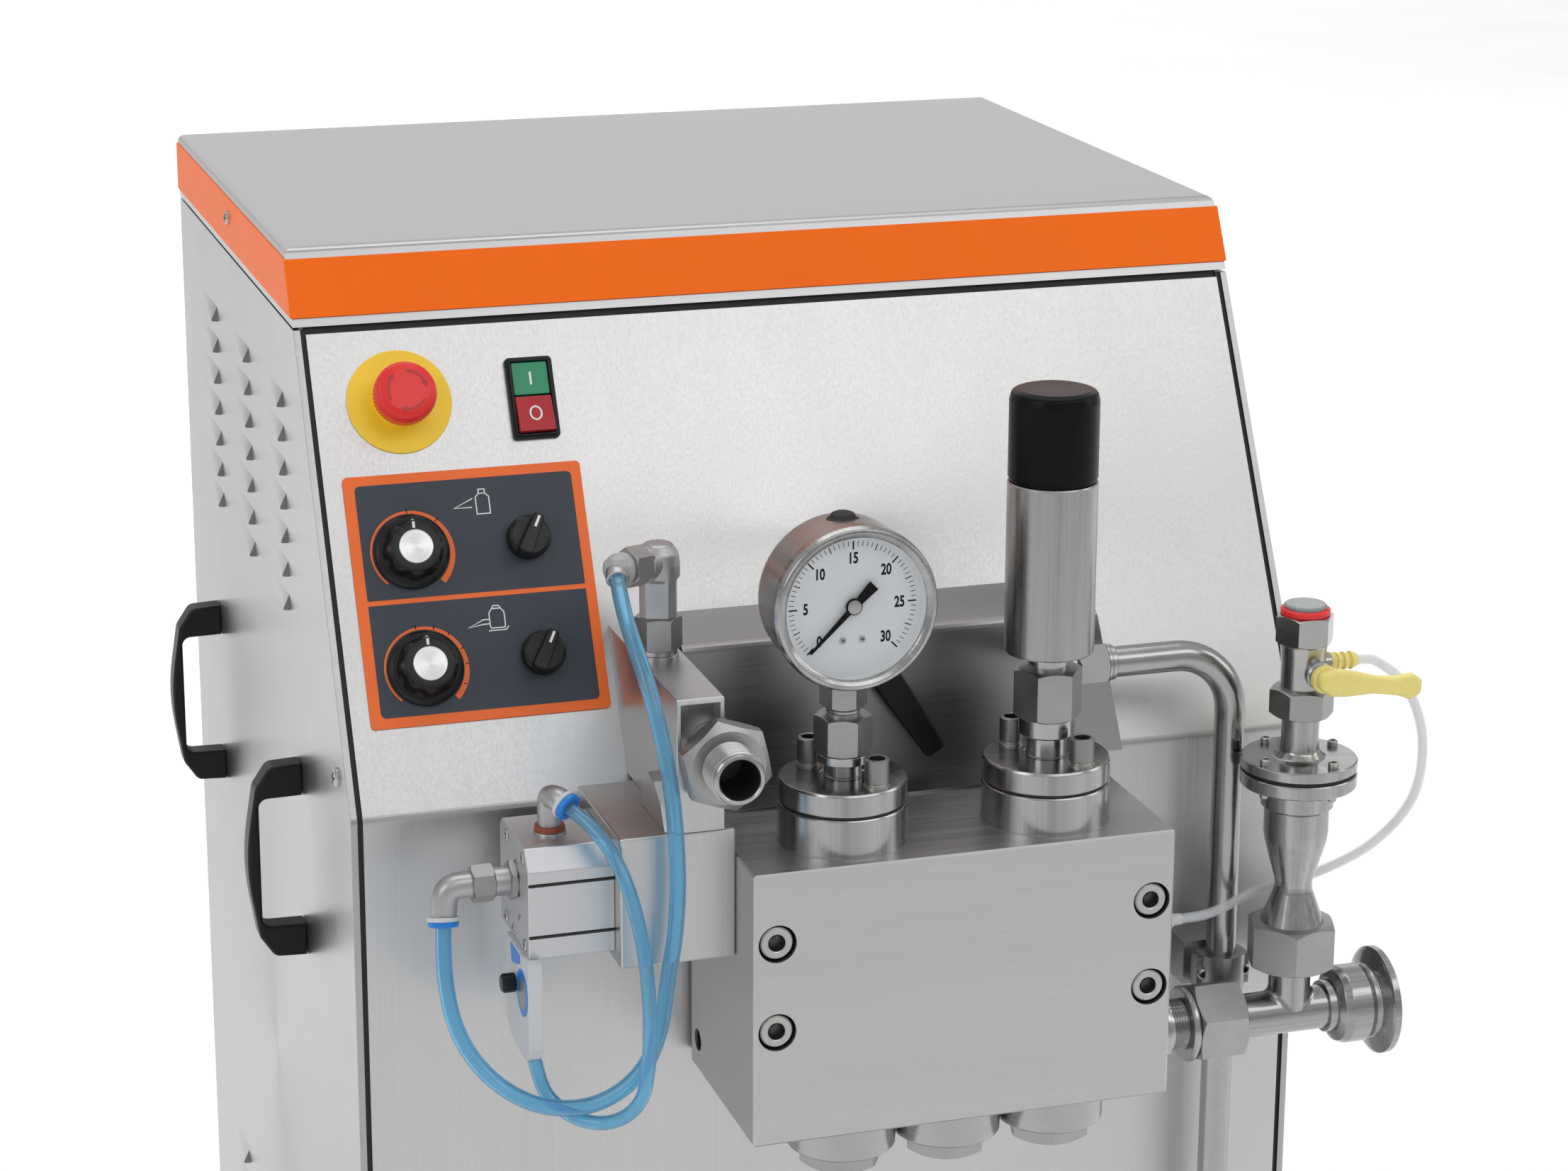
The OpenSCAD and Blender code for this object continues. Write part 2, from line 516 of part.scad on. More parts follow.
module air_cylinder() color("silver") difference() {
  union() {
    along_x(-210, -161.5) polygon([[-243, -352], [-243, -302], [-234, -291], [-182, -291], [-177, -296], [-177, -352]]);
  }
  cx(-204, -166, -212, -322, 24.3);
  cx(-167, -161, -212, -322, 8.4);
  // grooves along the front
  for (z = [-309.5, -339.5]) box(-211, -161, -244, -241.8, z - 0.6, z + 0.6);
}
module air_piston() color("silver") {
  cx(-192, -178, -212, -322, 24);
  cx(-179, -125, -212, -322, 8);
  cx(-126, -112, -212, -322, 12);
}
module collar(p, q, r) rod(p - 9 * unit(q - p), p, r);
module air_fittings() color("silver") {
  // elbow on the outlet block
  cz(-208, -201, -116.5, -173, 11.5);
  hex_z(-202, -184, -116.5, -173, 13.4);
  cz(-185, -153.5, -116.5, -173, 12.8);
  translate([-116.5, -173, -153.5]) sphere(12.8);
  rod([-116.5, -173, -153.5], [-127, -178, -153], 11);
  hexrod([-125, -177.5, -153], [-138, -183.5, -152.5], 11.5);
  translate([-142, -186, -153.5]) sphere(9);
  rod([-142, -186, -153.5], route1[0], 6.6);
  // port on top of the cylinder
  cz(-291, -286, -190, -212, 8.6);
  cz(-287, -269, -190, -212, 6.6);
  translate([-190, -212, -269]) sphere(6.8);
  rod([-190, -212, -269], [-186.6, -222.4, -269.6], 6.2);
  collar(route2[0], route2[1], 7.6);
  // port on the end of the cylinder
  hex_x(-214, -210, -212, -316.5, 11.8);
  cx(-224, -213, -212, -316.5, 8.2);
  hex_x(-235, -222.5, -212, -316.5, 10.6);
  cx(-247.5, -234, -212, -316.5, 7.4);
  translate([-247.5, -212, -316.5]) sphere(7.6);
  rod([-247.5, -212, -316.5], [-250, -212.4, -331], 7);
  collar(route1[len(route1) - 1], route1[len(route1) - 2], 8);
}
module regulator() color("white") difference() {
  along_x(-212.5, -204.5) polygon([[-250, -352], [-199, -352], [-196.5, -356], [-196.5, -403], [-204, -409.5], [-220, -412], [-242, -412], [-248, -408], [-250, -402]]);
  cx(-213, -206, -219, -374, 2.4);
}
module regulator_knob() color("black") {
  cx(-220.5, -212.8, -219, -374, 5);
  cx(-213, -207, -219, -374, 2);
}

// ---- product inlet and vent column ----
module inlet_unions() color("silver") {
  difference() {
    union() { cx(hx1, 174, sy, sz, 19.4); cx(173, 196, sy, sz, 15); }
    cx(hx1 - 1, 200, sy, sz, 12.5);
  }
  difference() { hex_x(190, 221, sy, sz, 24.6); cx(189, 196.5, sy, sz, 15.6); cx(196, 229, sy, sz, 13.4); }
  difference() { hex_z(-417, -389, vx, sy, 27.4); cz(-418, -410, vx, sy, 13); cz(-410.5, -388, vx, sy, 20.9); }
  difference() { hex_z(-262, -245, vx, sy, 18.8); cz(-263, -244, vx, sy, 11.2); }
}
module inlet_tee() color("silver") difference() {
  union() {
    cx(196, 282, sy, sz, 13);
    cz(sz, -411, vx, sy, 12.4);
    cx(276, 282, sy, sz, 15.4);
    translate([281, sy, sz]) rotate([0, 90, 0]) rotate_extrude() polygon([[0, 0], [17, 0], [21.4, 2.5], [23.2, 7], [23.2, 19], [21.5, 22], [21.5, 25],
      [ferrule_d / 2 - 2, 28], [ferrule_d / 2, 29], [ferrule_d / 2, 33], [0, 33]]);
  }
  cx(195, 284.5, sy, sz, 10.5);
  cx(284, 315, sy, sz, ferrule_bore / 2);
  cz(sz, -410, vx, sy, 10);
}
module venturi() color("silver") translate([vx, sy, 0]) rotate_extrude()
  polygon([[10, -410.4], [20.4, -410.4], [20.6, -396], [10.9, -368], [10.9, -365], [18.9, -335], [18.9, -317.5], [21.2, -317], [21.2, -303.5],
    [vent_flange_d / 2, -303.5], [vent_flange_d / 2, -295.5], [10, -295.5], [10, -335], [8, -365], [8, -368], [10, -396]]);
module vent_riser() color("silver") difference() {
  union() {
    cz(-293.5, -287, vx, sy, vent_flange_d / 2);
    translate([vx, sy, -287]) cylinder(h = 5, r1 = 14, r2 = 11);
    cz(-287, -246, vx, sy, 11);
    // screw heads of the flange pair
    for (a = [20, 110, 200, 290]) cz(-287.5, -283.5, vx + 27.5 * cos(a), sy + 27.5 * sin(a), 3.1);
  }
  cz(-294, -245, vx, sy, 9);
}
module vent_valve() color("silver") difference() {
  union() {
    translate([vx, sy, -245]) cylinder(h = 28, r1 = 12.6, r2 = 14);
    hex_z(-218, -204, vx, sy, 17.4);
    // side port of the lever
    cy(-246, sy, vx + 3, -234, 7.2);
    cx(vx, 272, -225, -232, 6);
  }
  cz(-247, -210, vx, sy, 9);
}
module vent_cap() color("darkred") {
  cz(-204, -197, vx, sy, 14.4);
  cz(-197.5, -194.5, vx, sy, 13.6);
}
module vent_lever() color("khaki") {
  cy(-258, -246.4, vx + 3, -234, 8);
  translate([vx + 3, -258, -234]) rotate([0, 8, 0]) rotate([-90, 0, 0]) linear_extrude(8)
    polygon([[0, -6.6], [14, -6.4], [34, -4.4], [44, -5.4], [54, -7.5], [58, -4], [57, 5], [52, 7], [44, 4.6], [30, 4.6], [12, 7], [0, 7.6]]);
}
module hose_barbs() color("khaki") {
  // barb of the vent valve
  cx(272, 289, -225, -232, 3.9);
  for (x = [275, 279.5, 284]) translate([x, -225, -232]) rotate([0, 90, 0]) cylinder(h = 3.4, r1 = 5.4, r2 = 4.2);
  // barb in the side of the head block
  cx(hx1 - 9, 184, -225, -381, 3.8);
  cx(hx1, 158, -225, -381, 6.5);
  cx(174, 178, -225, -381, 5);
}
module air_tube_1() color("deepskyblue") tube(route1, air_tube_1_d);
module air_tube_2() color("deepskyblue") tube(route2, air_tube_2_d);
module clear_hose() color("lightcyan") tube(route3, vent_hose_d);

// ---- drive inside the cabinet ----
module motor() color("steelblue") difference() {
  union() {
    box(152, 238, crank_y - 70, crank_y + 70, -458, -312);
    cz(-484, -457, 194, crank_y, 40);
    cz(-790, -484, 194, crank_y, 78);
    cz(-820, -789, 194, crank_y, 72);
    box(110, 130, crank_y - 45, crank_y + 45, -700, -600);
    box(128, 150, crank_y - 30, crank_y + 30, -690, -610);
  }
  cx(150, 212, crank_y, pz, 18.4);
}
module crankcase() color("slategray") difference() {
  union() {
    box(-95, 150, -150, 76, -470, -301);
    box(-91, 146, y_low, -149, -450, -310);
  }
  box(-82, 138, -128, 62, -458, -312);
  for (x = px) cy(y_low - 1, -120, x, pz, plunger_d / 2 + 0.4);
  cx(-90, 151, crank_y, pz, 20.4);
  for (b = bolts) cy(y_low - 1, -130, b[0], b[1], 6.2);
}
module crankshaft() color("silver") {
  cx(-89, 148, crank_y, pz, 20);
  cx(147, 210, crank_y, pz, 18);
  for (i = [0:2]) cx(px[i] - 9, px[i] + 9, crank_y + half_stroke * cos(120 * i), pz + half_stroke * sin(120 * i), 32);
}
module plunger(x) {
  cy(-262, -100, x, pz, plunger_d / 2);
  cy(-112, -88, x, pz, 20);
  difference() {
    union() { cx(x - 7, x + 7, crank_y, pz, 61); box(x - 7, x + 7, -90, -70, pz - 14, pz + 14); }
    cx(x - 8, x + 8, crank_y, pz, 53);
  }
}
module plunger_1() color("silver") plunger(px[0]);
module plunger_2() color("silver") plunger(px[1]);
module plunger_3() color("silver") plunger(px[2]);

at() base_frame();
at() levelling_feet();
at() left_side_panel();
at() right_side_panel();
at() rear_panel();
at() front_panel();
at() top_cover();
at() orange_band();
at() side_handles();
at() plunger_hood();
at() hood_lever();
at() control_plate();
at() estop_plate();
at() estop_stem();
at() estop_head();
at() switch_frame();
at() start_button();
at() stop_button();
at() upper_dial();
at() lower_dial();
at() upper_selector();
at() lower_selector();
at() pump_head();
at() gaskets();
at() cap_screws();
at() port_flanges();
at() port_couplings();
at() suction_plugs();
at() gauge_case();
at() gauge_pointer();
at() gauge_glass();
at() relief_body();
at() relief_cap();
at() relief_pipe();
at() pipe_clamp();
at() valve_housing();
at() outlet_block();
at() outlet_union();
at() air_cylinder();
at() air_piston();
at() air_fittings();
at() regulator();
at() regulator_knob();
at() inlet_unions();
at() inlet_tee();
at() venturi();
at() vent_riser();
at() vent_valve();
at() vent_cap();
at() vent_lever();
at() hose_barbs();
at() air_tube_1();
at() air_tube_2();
at() clear_hose();
at() motor();
at() crankcase();
at() crankshaft();
at() plunger_1();
at() plunger_2();
at() plunger_3();
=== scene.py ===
"""Dairy homogenizer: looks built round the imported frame.

Millimetre helpers use the drawing frame of the cabinet: x = 0 in the middle,
y = 0 at the front top edge of the cover, z = 0 at the cover top.
"""
import math
import bmesh
import bpy
from mathutils import Matrix, Vector


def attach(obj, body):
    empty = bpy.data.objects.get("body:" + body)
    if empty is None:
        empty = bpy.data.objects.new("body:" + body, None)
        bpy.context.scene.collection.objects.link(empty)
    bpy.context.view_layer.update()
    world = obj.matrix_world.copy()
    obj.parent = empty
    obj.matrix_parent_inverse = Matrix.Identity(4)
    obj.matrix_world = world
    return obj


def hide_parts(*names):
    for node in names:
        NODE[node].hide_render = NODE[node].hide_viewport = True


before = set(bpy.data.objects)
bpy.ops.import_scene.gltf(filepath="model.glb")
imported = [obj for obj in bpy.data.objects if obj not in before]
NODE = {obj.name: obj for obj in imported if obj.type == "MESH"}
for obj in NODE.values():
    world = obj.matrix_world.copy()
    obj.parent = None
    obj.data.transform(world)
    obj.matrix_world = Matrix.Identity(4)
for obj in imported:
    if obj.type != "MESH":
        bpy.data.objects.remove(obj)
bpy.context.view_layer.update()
SCENE = bpy.context.scene
COL = SCENE.collection
rad = math.radians
SY, SZ = -64.0, 1150.0
SLOPE = rad(27.93)
K, CS, SN = math.tan(SLOPE), math.cos(SLOPE), math.sin(SLOPE)


def P(x, y, z):
    return Vector((x * 0.001, (y + SY) * 0.001, (z + SZ) * 0.001))


# ---------------------------------------------------------------- camera
cam_data = bpy.data.cameras.new("camera")
cam_data.sensor_width = 36.0
cam_data.lens = 84.187
cam_data.shift_x = -0.00171
cam_data.shift_y = -0.04183
cam_data.clip_start, cam_data.clip_end = 0.05, 200
camera = bpy.data.objects.new("camera", cam_data)
COL.objects.link(camera)
r_, u_, b_ = (0.95311, -0.30258, 0.00425), (0.07786, 0.25878, 0.96279), (-0.29242, -0.91732, 0.27021)
camera.matrix_world = Matrix.Translation(P(-641.82, -2055.79, 419.27)) @ Matrix((r_, u_, b_)).transposed().to_4x4()
SCENE.camera = camera


# ---------------------------------------------------------------- shader helpers
class Mat:
    """A node material on one Principled shader."""

    def __init__(self, name, **sockets):
        self.m = bpy.data.materials.new(name)
        self.m.use_nodes = True
        self.t = self.m.node_tree
        self.b = self.t.nodes["Principled BSDF"]
        for key, value in sockets.items():
            self.b.inputs[key.replace("_", " ")].default_value = value

    def node(self, kind, **props):
        n = self.t.nodes.new(kind)
        for key, value in props.items():
            setattr(n, key, value)
        return n

    def link(self, a, b):
        self.t.links.new(a, b)

    def coords(self, scale=(1, 1, 1), alt=None, radial=False):
        """Object coordinates, stretched. alt is the stretch on faces that look along x; radial turns x, y into the distance from the axis."""
        tc = self.node("ShaderNodeTexCoord")
        src = tc.outputs["Object"]
        if radial:
            sep = self.node("ShaderNodeSeparateXYZ")
            self.link(src, sep.inputs[0])
            xx = self.node("ShaderNodeCombineXYZ")
            self.link(sep.outputs[0], xx.inputs[0])
            self.link(sep.outputs[1], xx.inputs[1])
            ln = self.node("ShaderNodeVectorMath", operation="LENGTH")
            self.link(xx.outputs[0], ln.inputs[0])
            an = self.node("ShaderNodeMath", operation="ARCTAN2")
            self.link(sep.outputs[1], an.inputs[0])
            self.link(sep.outputs[0], an.inputs[1])
            cb = self.node("ShaderNodeCombineXYZ")
            self.link(ln.outputs["Value"], cb.inputs[0])
            self.link(an.outputs[0], cb.inputs[1])
            self.link(sep.outputs[2], cb.inputs[2])
            src = cb.outputs[0]
        mp = self.node("ShaderNodeMapping")
        mp.inputs["Scale"].default_value = scale
        self.link(src, mp.inputs["Vector"])
        out = mp.outputs[0]
        if alt:
            mq = self.node("ShaderNodeMapping")
            mq.inputs["Scale"].default_value = alt
            self.link(src, mq.inputs["Vector"])
            sn = self.node("ShaderNodeSeparateXYZ")
            self.link(tc.outputs["Normal"], sn.inputs[0])
            ab = self.node("ShaderNodeMath", operation="ABSOLUTE")
            self.link(sn.outputs[0], ab.inputs[0])
            gt = self.node("ShaderNodeMath", operation="GREATER_THAN")
            gt.inputs[1].default_value = 0.7
            self.link(ab.outputs[0], gt.inputs[0])
            mx = self.node("ShaderNodeMix", data_type="VECTOR")
            self.link(gt.outputs[0], mx.inputs[0])
            self.link(out, mx.inputs[4])
            self.link(mq.outputs[0], mx.inputs[5])
            out = mx.outputs[1]
        return out

    def noise(self, vector, scale=1.0, detail=3.0, rough=0.55):
        n = self.node("ShaderNodeTexNoise")
        n.inputs["Scale"].default_value = scale
        n.inputs["Detail"].default_value = detail
        n.inputs["Roughness"].default_value = rough
        self.link(vector, n.inputs["Vector"])
        return n.outputs[0]

    def mixval(self, a, b, f):
        """a * (1 - f) + b * f"""
        m = self.node("ShaderNodeMix", data_type="FLOAT")
        m.inputs[0].default_value = f
        self.link(a, m.inputs[2])
        self.link(b, m.inputs[3])
        return m.outputs[0]

    def colour(self, value, dark, light, lo=0.35, hi=0.65):
        r = self.node("ShaderNodeValToRGB")
        r.color_ramp.elements[0].position = lo
        r.color_ramp.elements[1].position = hi
        r.color_ramp.elements[0].color = (*dark, 1)
        r.color_ramp.elements[1].color = (*light, 1)
        self.link(value, r.inputs[0])
        self.link(r.outputs[0], self.b.inputs["Base Color"])

    def rough(self, value, lo, hi):
        m = self.node("ShaderNodeMapRange")
        m.inputs["From Min"].default_value = 0.3
        m.inputs["From Max"].default_value = 0.7
        m.inputs["To Min"].default_value = lo
        m.inputs["To Max"].default_value = hi
        self.link(value, m.inputs["Value"])
        self.link(m.outputs[0], self.b.inputs["Roughness"])

    def bump(self, value, strength, distance):
        n = self.node("ShaderNodeBump")
        n.inputs["Strength"].default_value = strength
        n.inputs["Distance"].default_value = distance
        self.link(value, n.inputs["Height"])
        self.link(n.outputs[0], self.b.inputs["Normal"])


def scaled(c, f):
    return tuple(min(1.0, x * f) for x in c)


def brushed(name, col, along, rough=(0.26, 0.40), var=0.05, alt=None, low=5.0, fine=900.0, bump=0.12, aniso=0.0, axis="Z"):
    """Sheet or ground steel with a grain along one axis."""
    m = Mat(name, Metallic=1.0)
    st = {"X": (low, fine, fine), "Y": (fine, low, fine), "Z": (fine, fine, low)}
    a = m.coords(st[along], alt=st[alt] if alt else None)
    big = {"X": (3.0, 26.0, 26.0), "Y": (26.0, 3.0, 26.0), "Z": (26.0, 26.0, 3.0)}
    g = m.noise(a, 1.0, 2.0, 0.6)
    c = m.noise(m.coords(big[along], alt=big[alt] if alt else None), 1.0, 3.0, 0.5)
    v = m.mixval(g, c, 0.45)
    m.colour(v, scaled(col, 1 - var), scaled(col, 1 + var))
    m.rough(m.mixval(g, c, 0.3), *rough)
    m.bump(g, bump, 0.0002)
    if aniso:
        m.b.inputs["Anisotropic"].default_value = aniso
        tn = m.node("ShaderNodeTangent", direction_type="RADIAL", axis=axis)
        m.link(tn.outputs[0], m.b.inputs["Tangent"])
    return m.m


def turned(name, col, rough=(0.18, 0.34), var=0.07, fine=2600.0, bump=0.10, aniso=0.5):
    """Lathe-turned steel: rings round the local z axis."""
    m = Mat(name, Metallic=1.0)
    g = m.noise(m.coords((fine, 0.8, fine), radial=True), 1.0, 2.0, 0.6)
    c = m.noise(m.coords((60, 60, 60)), 1.0, 3.0, 0.5)
    m.colour(m.mixval(g, c, 0.4), scaled(col, 1 - var), scaled(col, 1 + var))
    m.rough(g, *rough)
    m.bump(g, bump, 0.00012)
    if aniso:
        m.b.inputs["Anisotropic"].default_value = aniso
        m.b.inputs["Anisotropic Rotation"].default_value = 0.25
        tn = m.node("ShaderNodeTangent", direction_type="RADIAL", axis="Z")
        m.link(tn.outputs[0], m.b.inputs["Tangent"])
    return m.m


def grainy(name, col, rough=(0.32, 0.5), var=0.10, fine=1500.0, bump=0.25, metal=1.0, dist=0.0002, **sockets):
    """Isotropic fine grain: blasted or cast metal, moulded plastic, paint."""
    m = Mat(name, Metallic=metal, **sockets)
    g = m.noise(m.coords((fine, fine, fine)), 1.0, 3.0, 0.6)
    c = m.noise(m.coords((45, 45, 45)), 1.0, 4.0, 0.55)
    m.colour(m.mixval(g, c, 0.45), scaled(col, 1 - var), scaled(col, 1 + var))
    m.rough(m.mixval(g, c, 0.5), *rough)
    m.bump(g, bump, dist)
    return m.m


def streaked(name, col, rough=(0.22, 0.34), var=0.16, bump=0.04, bands=1.7):
    """Cylinder steel: wide light and dark bands round the local z axis are painted reflection, over a fine real grain
    along z, without a seam round it.
    """
    m = Mat(name, Metallic=1.0)
    tc = m.node("ShaderNodeTexCoord")
    flat = m.node("ShaderNodeVectorMath", operation="MULTIPLY")
    flat.inputs[1].default_value = (1.0, 1.0, 0.0)
    m.link(tc.outputs["Object"], flat.inputs[0])
    unit = m.node("ShaderNodeVectorMath", operation="NORMALIZE")
    m.link(flat.outputs[0], unit.inputs[0])
    mp = m.node("ShaderNodeMapping")
    mp.inputs["Scale"].default_value = (bands, bands, bands)
    m.link(unit.outputs[0], mp.inputs["Vector"])
    # wide bands round the axis: painted reflection of light and dark parts of the room
    painted_reflection_band = m.noise(mp.outputs[0], 1.0, 3.0, 0.55)
    fine = m.noise(m.coords((700, 700, 14)), 1.0, 2.0, 0.5)
    m.colour(m.mixval(painted_reflection_band, fine, 0.3), scaled(col, 1 - var), scaled(col, 1 + var))
    m.rough(fine, *rough)
    m.bump(fine, bump, 0.0001)
    return m.m


STEEL = (0.62, 0.615, 0.60)
M_FRONT = brushed("front_sheet_steel", (0.57, 0.565, 0.56), "Z", rough=(0.30, 0.44), var=0.05, bump=0.08, aniso=0.55)
M_SIDE = brushed("side_sheet_steel", (0.435, 0.435, 0.437), "Z", rough=(0.27, 0.37), var=0.035, bump=0.06, aniso=0.45)
M_COVER = brushed("cover_sheet_steel", (0.48, 0.48, 0.48), "X", rough=(0.28, 0.40), var=0.06, bump=0.10)
# hood steel darkened to paint the shade inside the hood recess
M_HOOD_SHADE = brushed("hood_steel_painted_shade", (0.305, 0.30, 0.295), "X", rough=(0.27, 0.36), var=0.05, bump=0.08)
M_BLOCK = brushed("ground_block_steel", (0.53, 0.528, 0.525), "X", rough=(0.32, 0.46), var=0.05, alt="Y", bump=0.10, low=9.0)
M_VALVE = brushed("ground_valve_steel", (0.56, 0.558, 0.555), "Z", rough=(0.28, 0.42), var=0.07, bump=0.10, low=9.0)
M_ALU = brushed("anodised_aluminium", (0.62, 0.625, 0.635), "X", rough=(0.36, 0.50), var=0.05, alt="Y", bump=0.06, low=14.0)
M_FRAME = brushed("inner_frame_steel", (0.40, 0.40, 0.40), "X", rough=(0.38, 0.55), var=0.08)
M_TURN = turned("turned_steel", (0.43, 0.427, 0.42), var=0.05)
M_TURNB = turned("bright_turned_steel", (0.47, 0.466, 0.458), rough=(0.16, 0.26), var=0.05, fine=1700.0, bump=0.06)
# flange, barrel and cone steel: their wide light and dark streaks round the axis are painted reflection
M_FLANGE = streaked("flange_steel", (0.40, 0.396, 0.39), rough=(0.17, 0.27), var=0.22, bands=2.2)
M_POLISH = turned("polished_steel", (0.60, 0.595, 0.585), rough=(0.13, 0.24), var=0.05, fine=900.0, bump=0.05)
M_BARREL = streaked("barrel_steel_painted_streaks", (0.40, 0.397, 0.39))
M_CONE = streaked("cone_steel", (0.41, 0.406, 0.40), rough=(0.17, 0.27), var=0.20, bands=2.0)
# dark steel for socket and bore insides: painted shade in the recesses
M_SOCKET_SHADE = grainy("socket_steel_painted_shade", (0.11, 0.108, 0.105), rough=(0.35, 0.5), var=0.2, metal=0.9, fine=900.0)
M_KNURL = grainy("knurled_steel", (0.30, 0.297, 0.29), rough=(0.34, 0.5), var=0.15, fine=1500.0)
M_PIPE = grainy("drawn_pipe_steel", (0.40, 0.396, 0.39), rough=(0.16, 0.27), var=0.06, fine=500.0, bump=0.04)
M_SATIN = grainy("satin_hexagon_steel", (0.40, 0.397, 0.39), rough=(0.30, 0.46), var=0.12, fine=1300.0, bump=0.28)
M_CAST = grainy("cast_alloy", (0.46, 0.46, 0.465), rough=(0.34, 0.46), var=0.06, fine=1100.0, bump=0.35)
M_SCREW = grainy("screw_steel", (0.48, 0.475, 0.46), rough=(0.24, 0.42), var=0.14, fine=1800.0, bump=0.22)
# near-black for recesses, gaps and bore linings: painted shade
M_RECESS_SHADE = grainy("painted_recess_shade", (0.02, 0.02, 0.021), rough=(0.45, 0.65), var=0.3, metal=0.3, fine=700.0)
M_ORANGE = grainy("orange_paint", (0.98, 0.165, 0.010), rough=(0.36, 0.48), var=0.03, metal=0.0, fine=1400.0, bump=0.12, Specular_IOR_Level=0.10)
M_PRINT = grainy("orange_print", (0.90, 0.150, 0.014), rough=(0.40, 0.52), var=0.03, metal=0.0, fine=900.0, bump=0.08)
M_SLATE = grainy("slate_film", (0.031, 0.041, 0.056), rough=(0.42, 0.58), var=0.10, metal=0.0, fine=620.0, bump=0.35)
M_BLACK = grainy("black_moulding", (0.0045, 0.0055, 0.0075), rough=(0.34, 0.46), var=0.18, metal=0.0, fine=1200.0, bump=0.18, Specular_IOR_Level=0.30)
M_CAPBLK = grainy("black_cap", (0.0035, 0.0042, 0.0056), rough=(0.26, 0.36), var=0.15, metal=0.0, fine=700.0, bump=0.05, Specular_IOR_Level=0.12)
M_KNOB = grainy("black_knob", (0.004, 0.0045, 0.005), rough=(0.28, 0.40), var=0.2, metal=0.0, fine=1400.0, bump=0.10, Specular_IOR_Level=0.35)
M_RED = grainy("red_moulding", (0.80, 0.022, 0.022), rough=(0.28, 0.40), var=0.07, metal=0.0, fine=1100.0, bump=0.10)
M_REDKEY = grainy("red_key", (0.42, 0.022, 0.028), rough=(0.20, 0.32), var=0.06, metal=0.0, fine=900.0, bump=0.06)
M_GREEN = grainy("green_key", (0.002, 0.24, 0.10), rough=(0.22, 0.34), var=0.07, metal=0.0, fine=900.0, bump=0.06)
M_YELLOW = grainy("yellow_disc", (0.97, 0.66, 0.028), rough=(0.36, 0.48), var=0.05, metal=0.0, fine=600.0, bump=0.10)
M_PALE = grainy("pale_yellow_moulding", (0.86, 0.74, 0.24), rough=(0.30, 0.42), var=0.05, metal=0.0, fine=700.0, bump=0.12, Subsurface_Weight=0.15, Subsurface_Radius=(0.004, 0.003, 0.001))
M_WHITE = grainy("milky_moulding", (0.60, 0.62, 0.64), rough=(0.30, 0.42), var=0.04, metal=0.0, fine=700.0, bump=0.10, Subsurface_Weight=0.2, Subsurface_Radius=(0.003, 0.003, 0.003))
M_BLUE = grainy("blue_moulding", (0.004, 0.21, 0.68), rough=(0.26, 0.38), var=0.07, metal=0.0, fine=900.0, bump=0.10)
M_RUBBER = grainy("black_rubber", (0.012, 0.012, 0.012), rough=(0.5, 0.7), var=0.25, metal=0.0, fine=1000.0, bump=0.3)
M_DIAL = grainy("white_dial", (0.76, 0.785, 0.80), rough=(0.42, 0.52), var=0.02, metal=0.0, fine=500.0, bump=0.04)
M_INK = grainy("black_ink", (0.004, 0.004, 0.005), rough=(0.4, 0.55), var=0.2, metal=0.0, fine=900.0, bump=0.05, Specular_IOR_Level=0.15)
M_WINK = grainy("white_ink", (0.80, 0.80, 0.79), rough=(0.4, 0.55), var=0.04, metal=0.0, fine=900.0, bump=0.05)
M_COPPER = grainy("red_brown_washer", (0.30, 0.075, 0.035), rough=(0.34, 0.5), var=0.15, metal=0.3, fine=900.0, bump=0.2)
M_MOTOR = grainy("blue_grey_enamel", (0.06, 0.10, 0.15), rough=(0.34, 0.48), var=0.10, metal=0.0, fine=500.0, bump=0.3)
M_IRON = grainy("cast_iron", (0.09, 0.09, 0.095), rough=(0.5, 0.7), var=0.2, metal=0.6, fine=500.0, bump=0.5)
M_SPUN = turned("spun_cap", (0.60, 0.60, 0.60), rough=(0.26, 0.38), var=0.06, fine=2200.0, bump=0.2, aniso=0.75)


def clear(name, col, rough=(0.03, 0.07), weight=0.95, ior=1.45, fine=300.0, bump=0.02, var=0.03, absorb=None, density=0.0):
    m = Mat(name, Transmission_Weight=weight, IOR=ior)
    g = m.noise(m.coords((fine, fine, fine)), 1.0, 2.0, 0.5)
    m.colour(g, scaled(col, 1 - var), scaled(col, 1 + var))
    m.rough(g, *rough)
    m.bump(g, bump, 0.0002)
    if absorb:
        va = m.node("ShaderNodeVolumeAbsorption")
        va.inputs["Color"].default_value = (*absorb, 1)
        va.inputs["Density"].default_value = density
        m.link(va.outputs[0], m.t.nodes["Material Output"].inputs["Volume"])
    return m.m


M_GLASS = grainy("gauge_pane", (0.02, 0.021, 0.022), rough=(0.02, 0.05), var=0.01, metal=0.0, fine=40.0, bump=0.004, Alpha=0.04, Specular_IOR_Level=0.15)
M_TUBE = clear("blue_polyurethane", (0.56, 0.87, 1.0), rough=(0.02, 0.05), weight=0.88, ior=1.40, fine=40.0, bump=0.002, var=0.01, absorb=(0.0, 0.68, 0.99), density=240.0)
M_HOSE = grainy("clear_silicone", (0.78, 0.80, 0.82), rough=(0.10, 0.18), var=0.03, metal=0.0, fine=120.0, bump=0.01, Alpha=0.34)
M_COVERLET = clear("clear_key_cover", (0.86, 0.30, 0.32), rough=(0.05, 0.12), weight=0.85, ior=1.2)


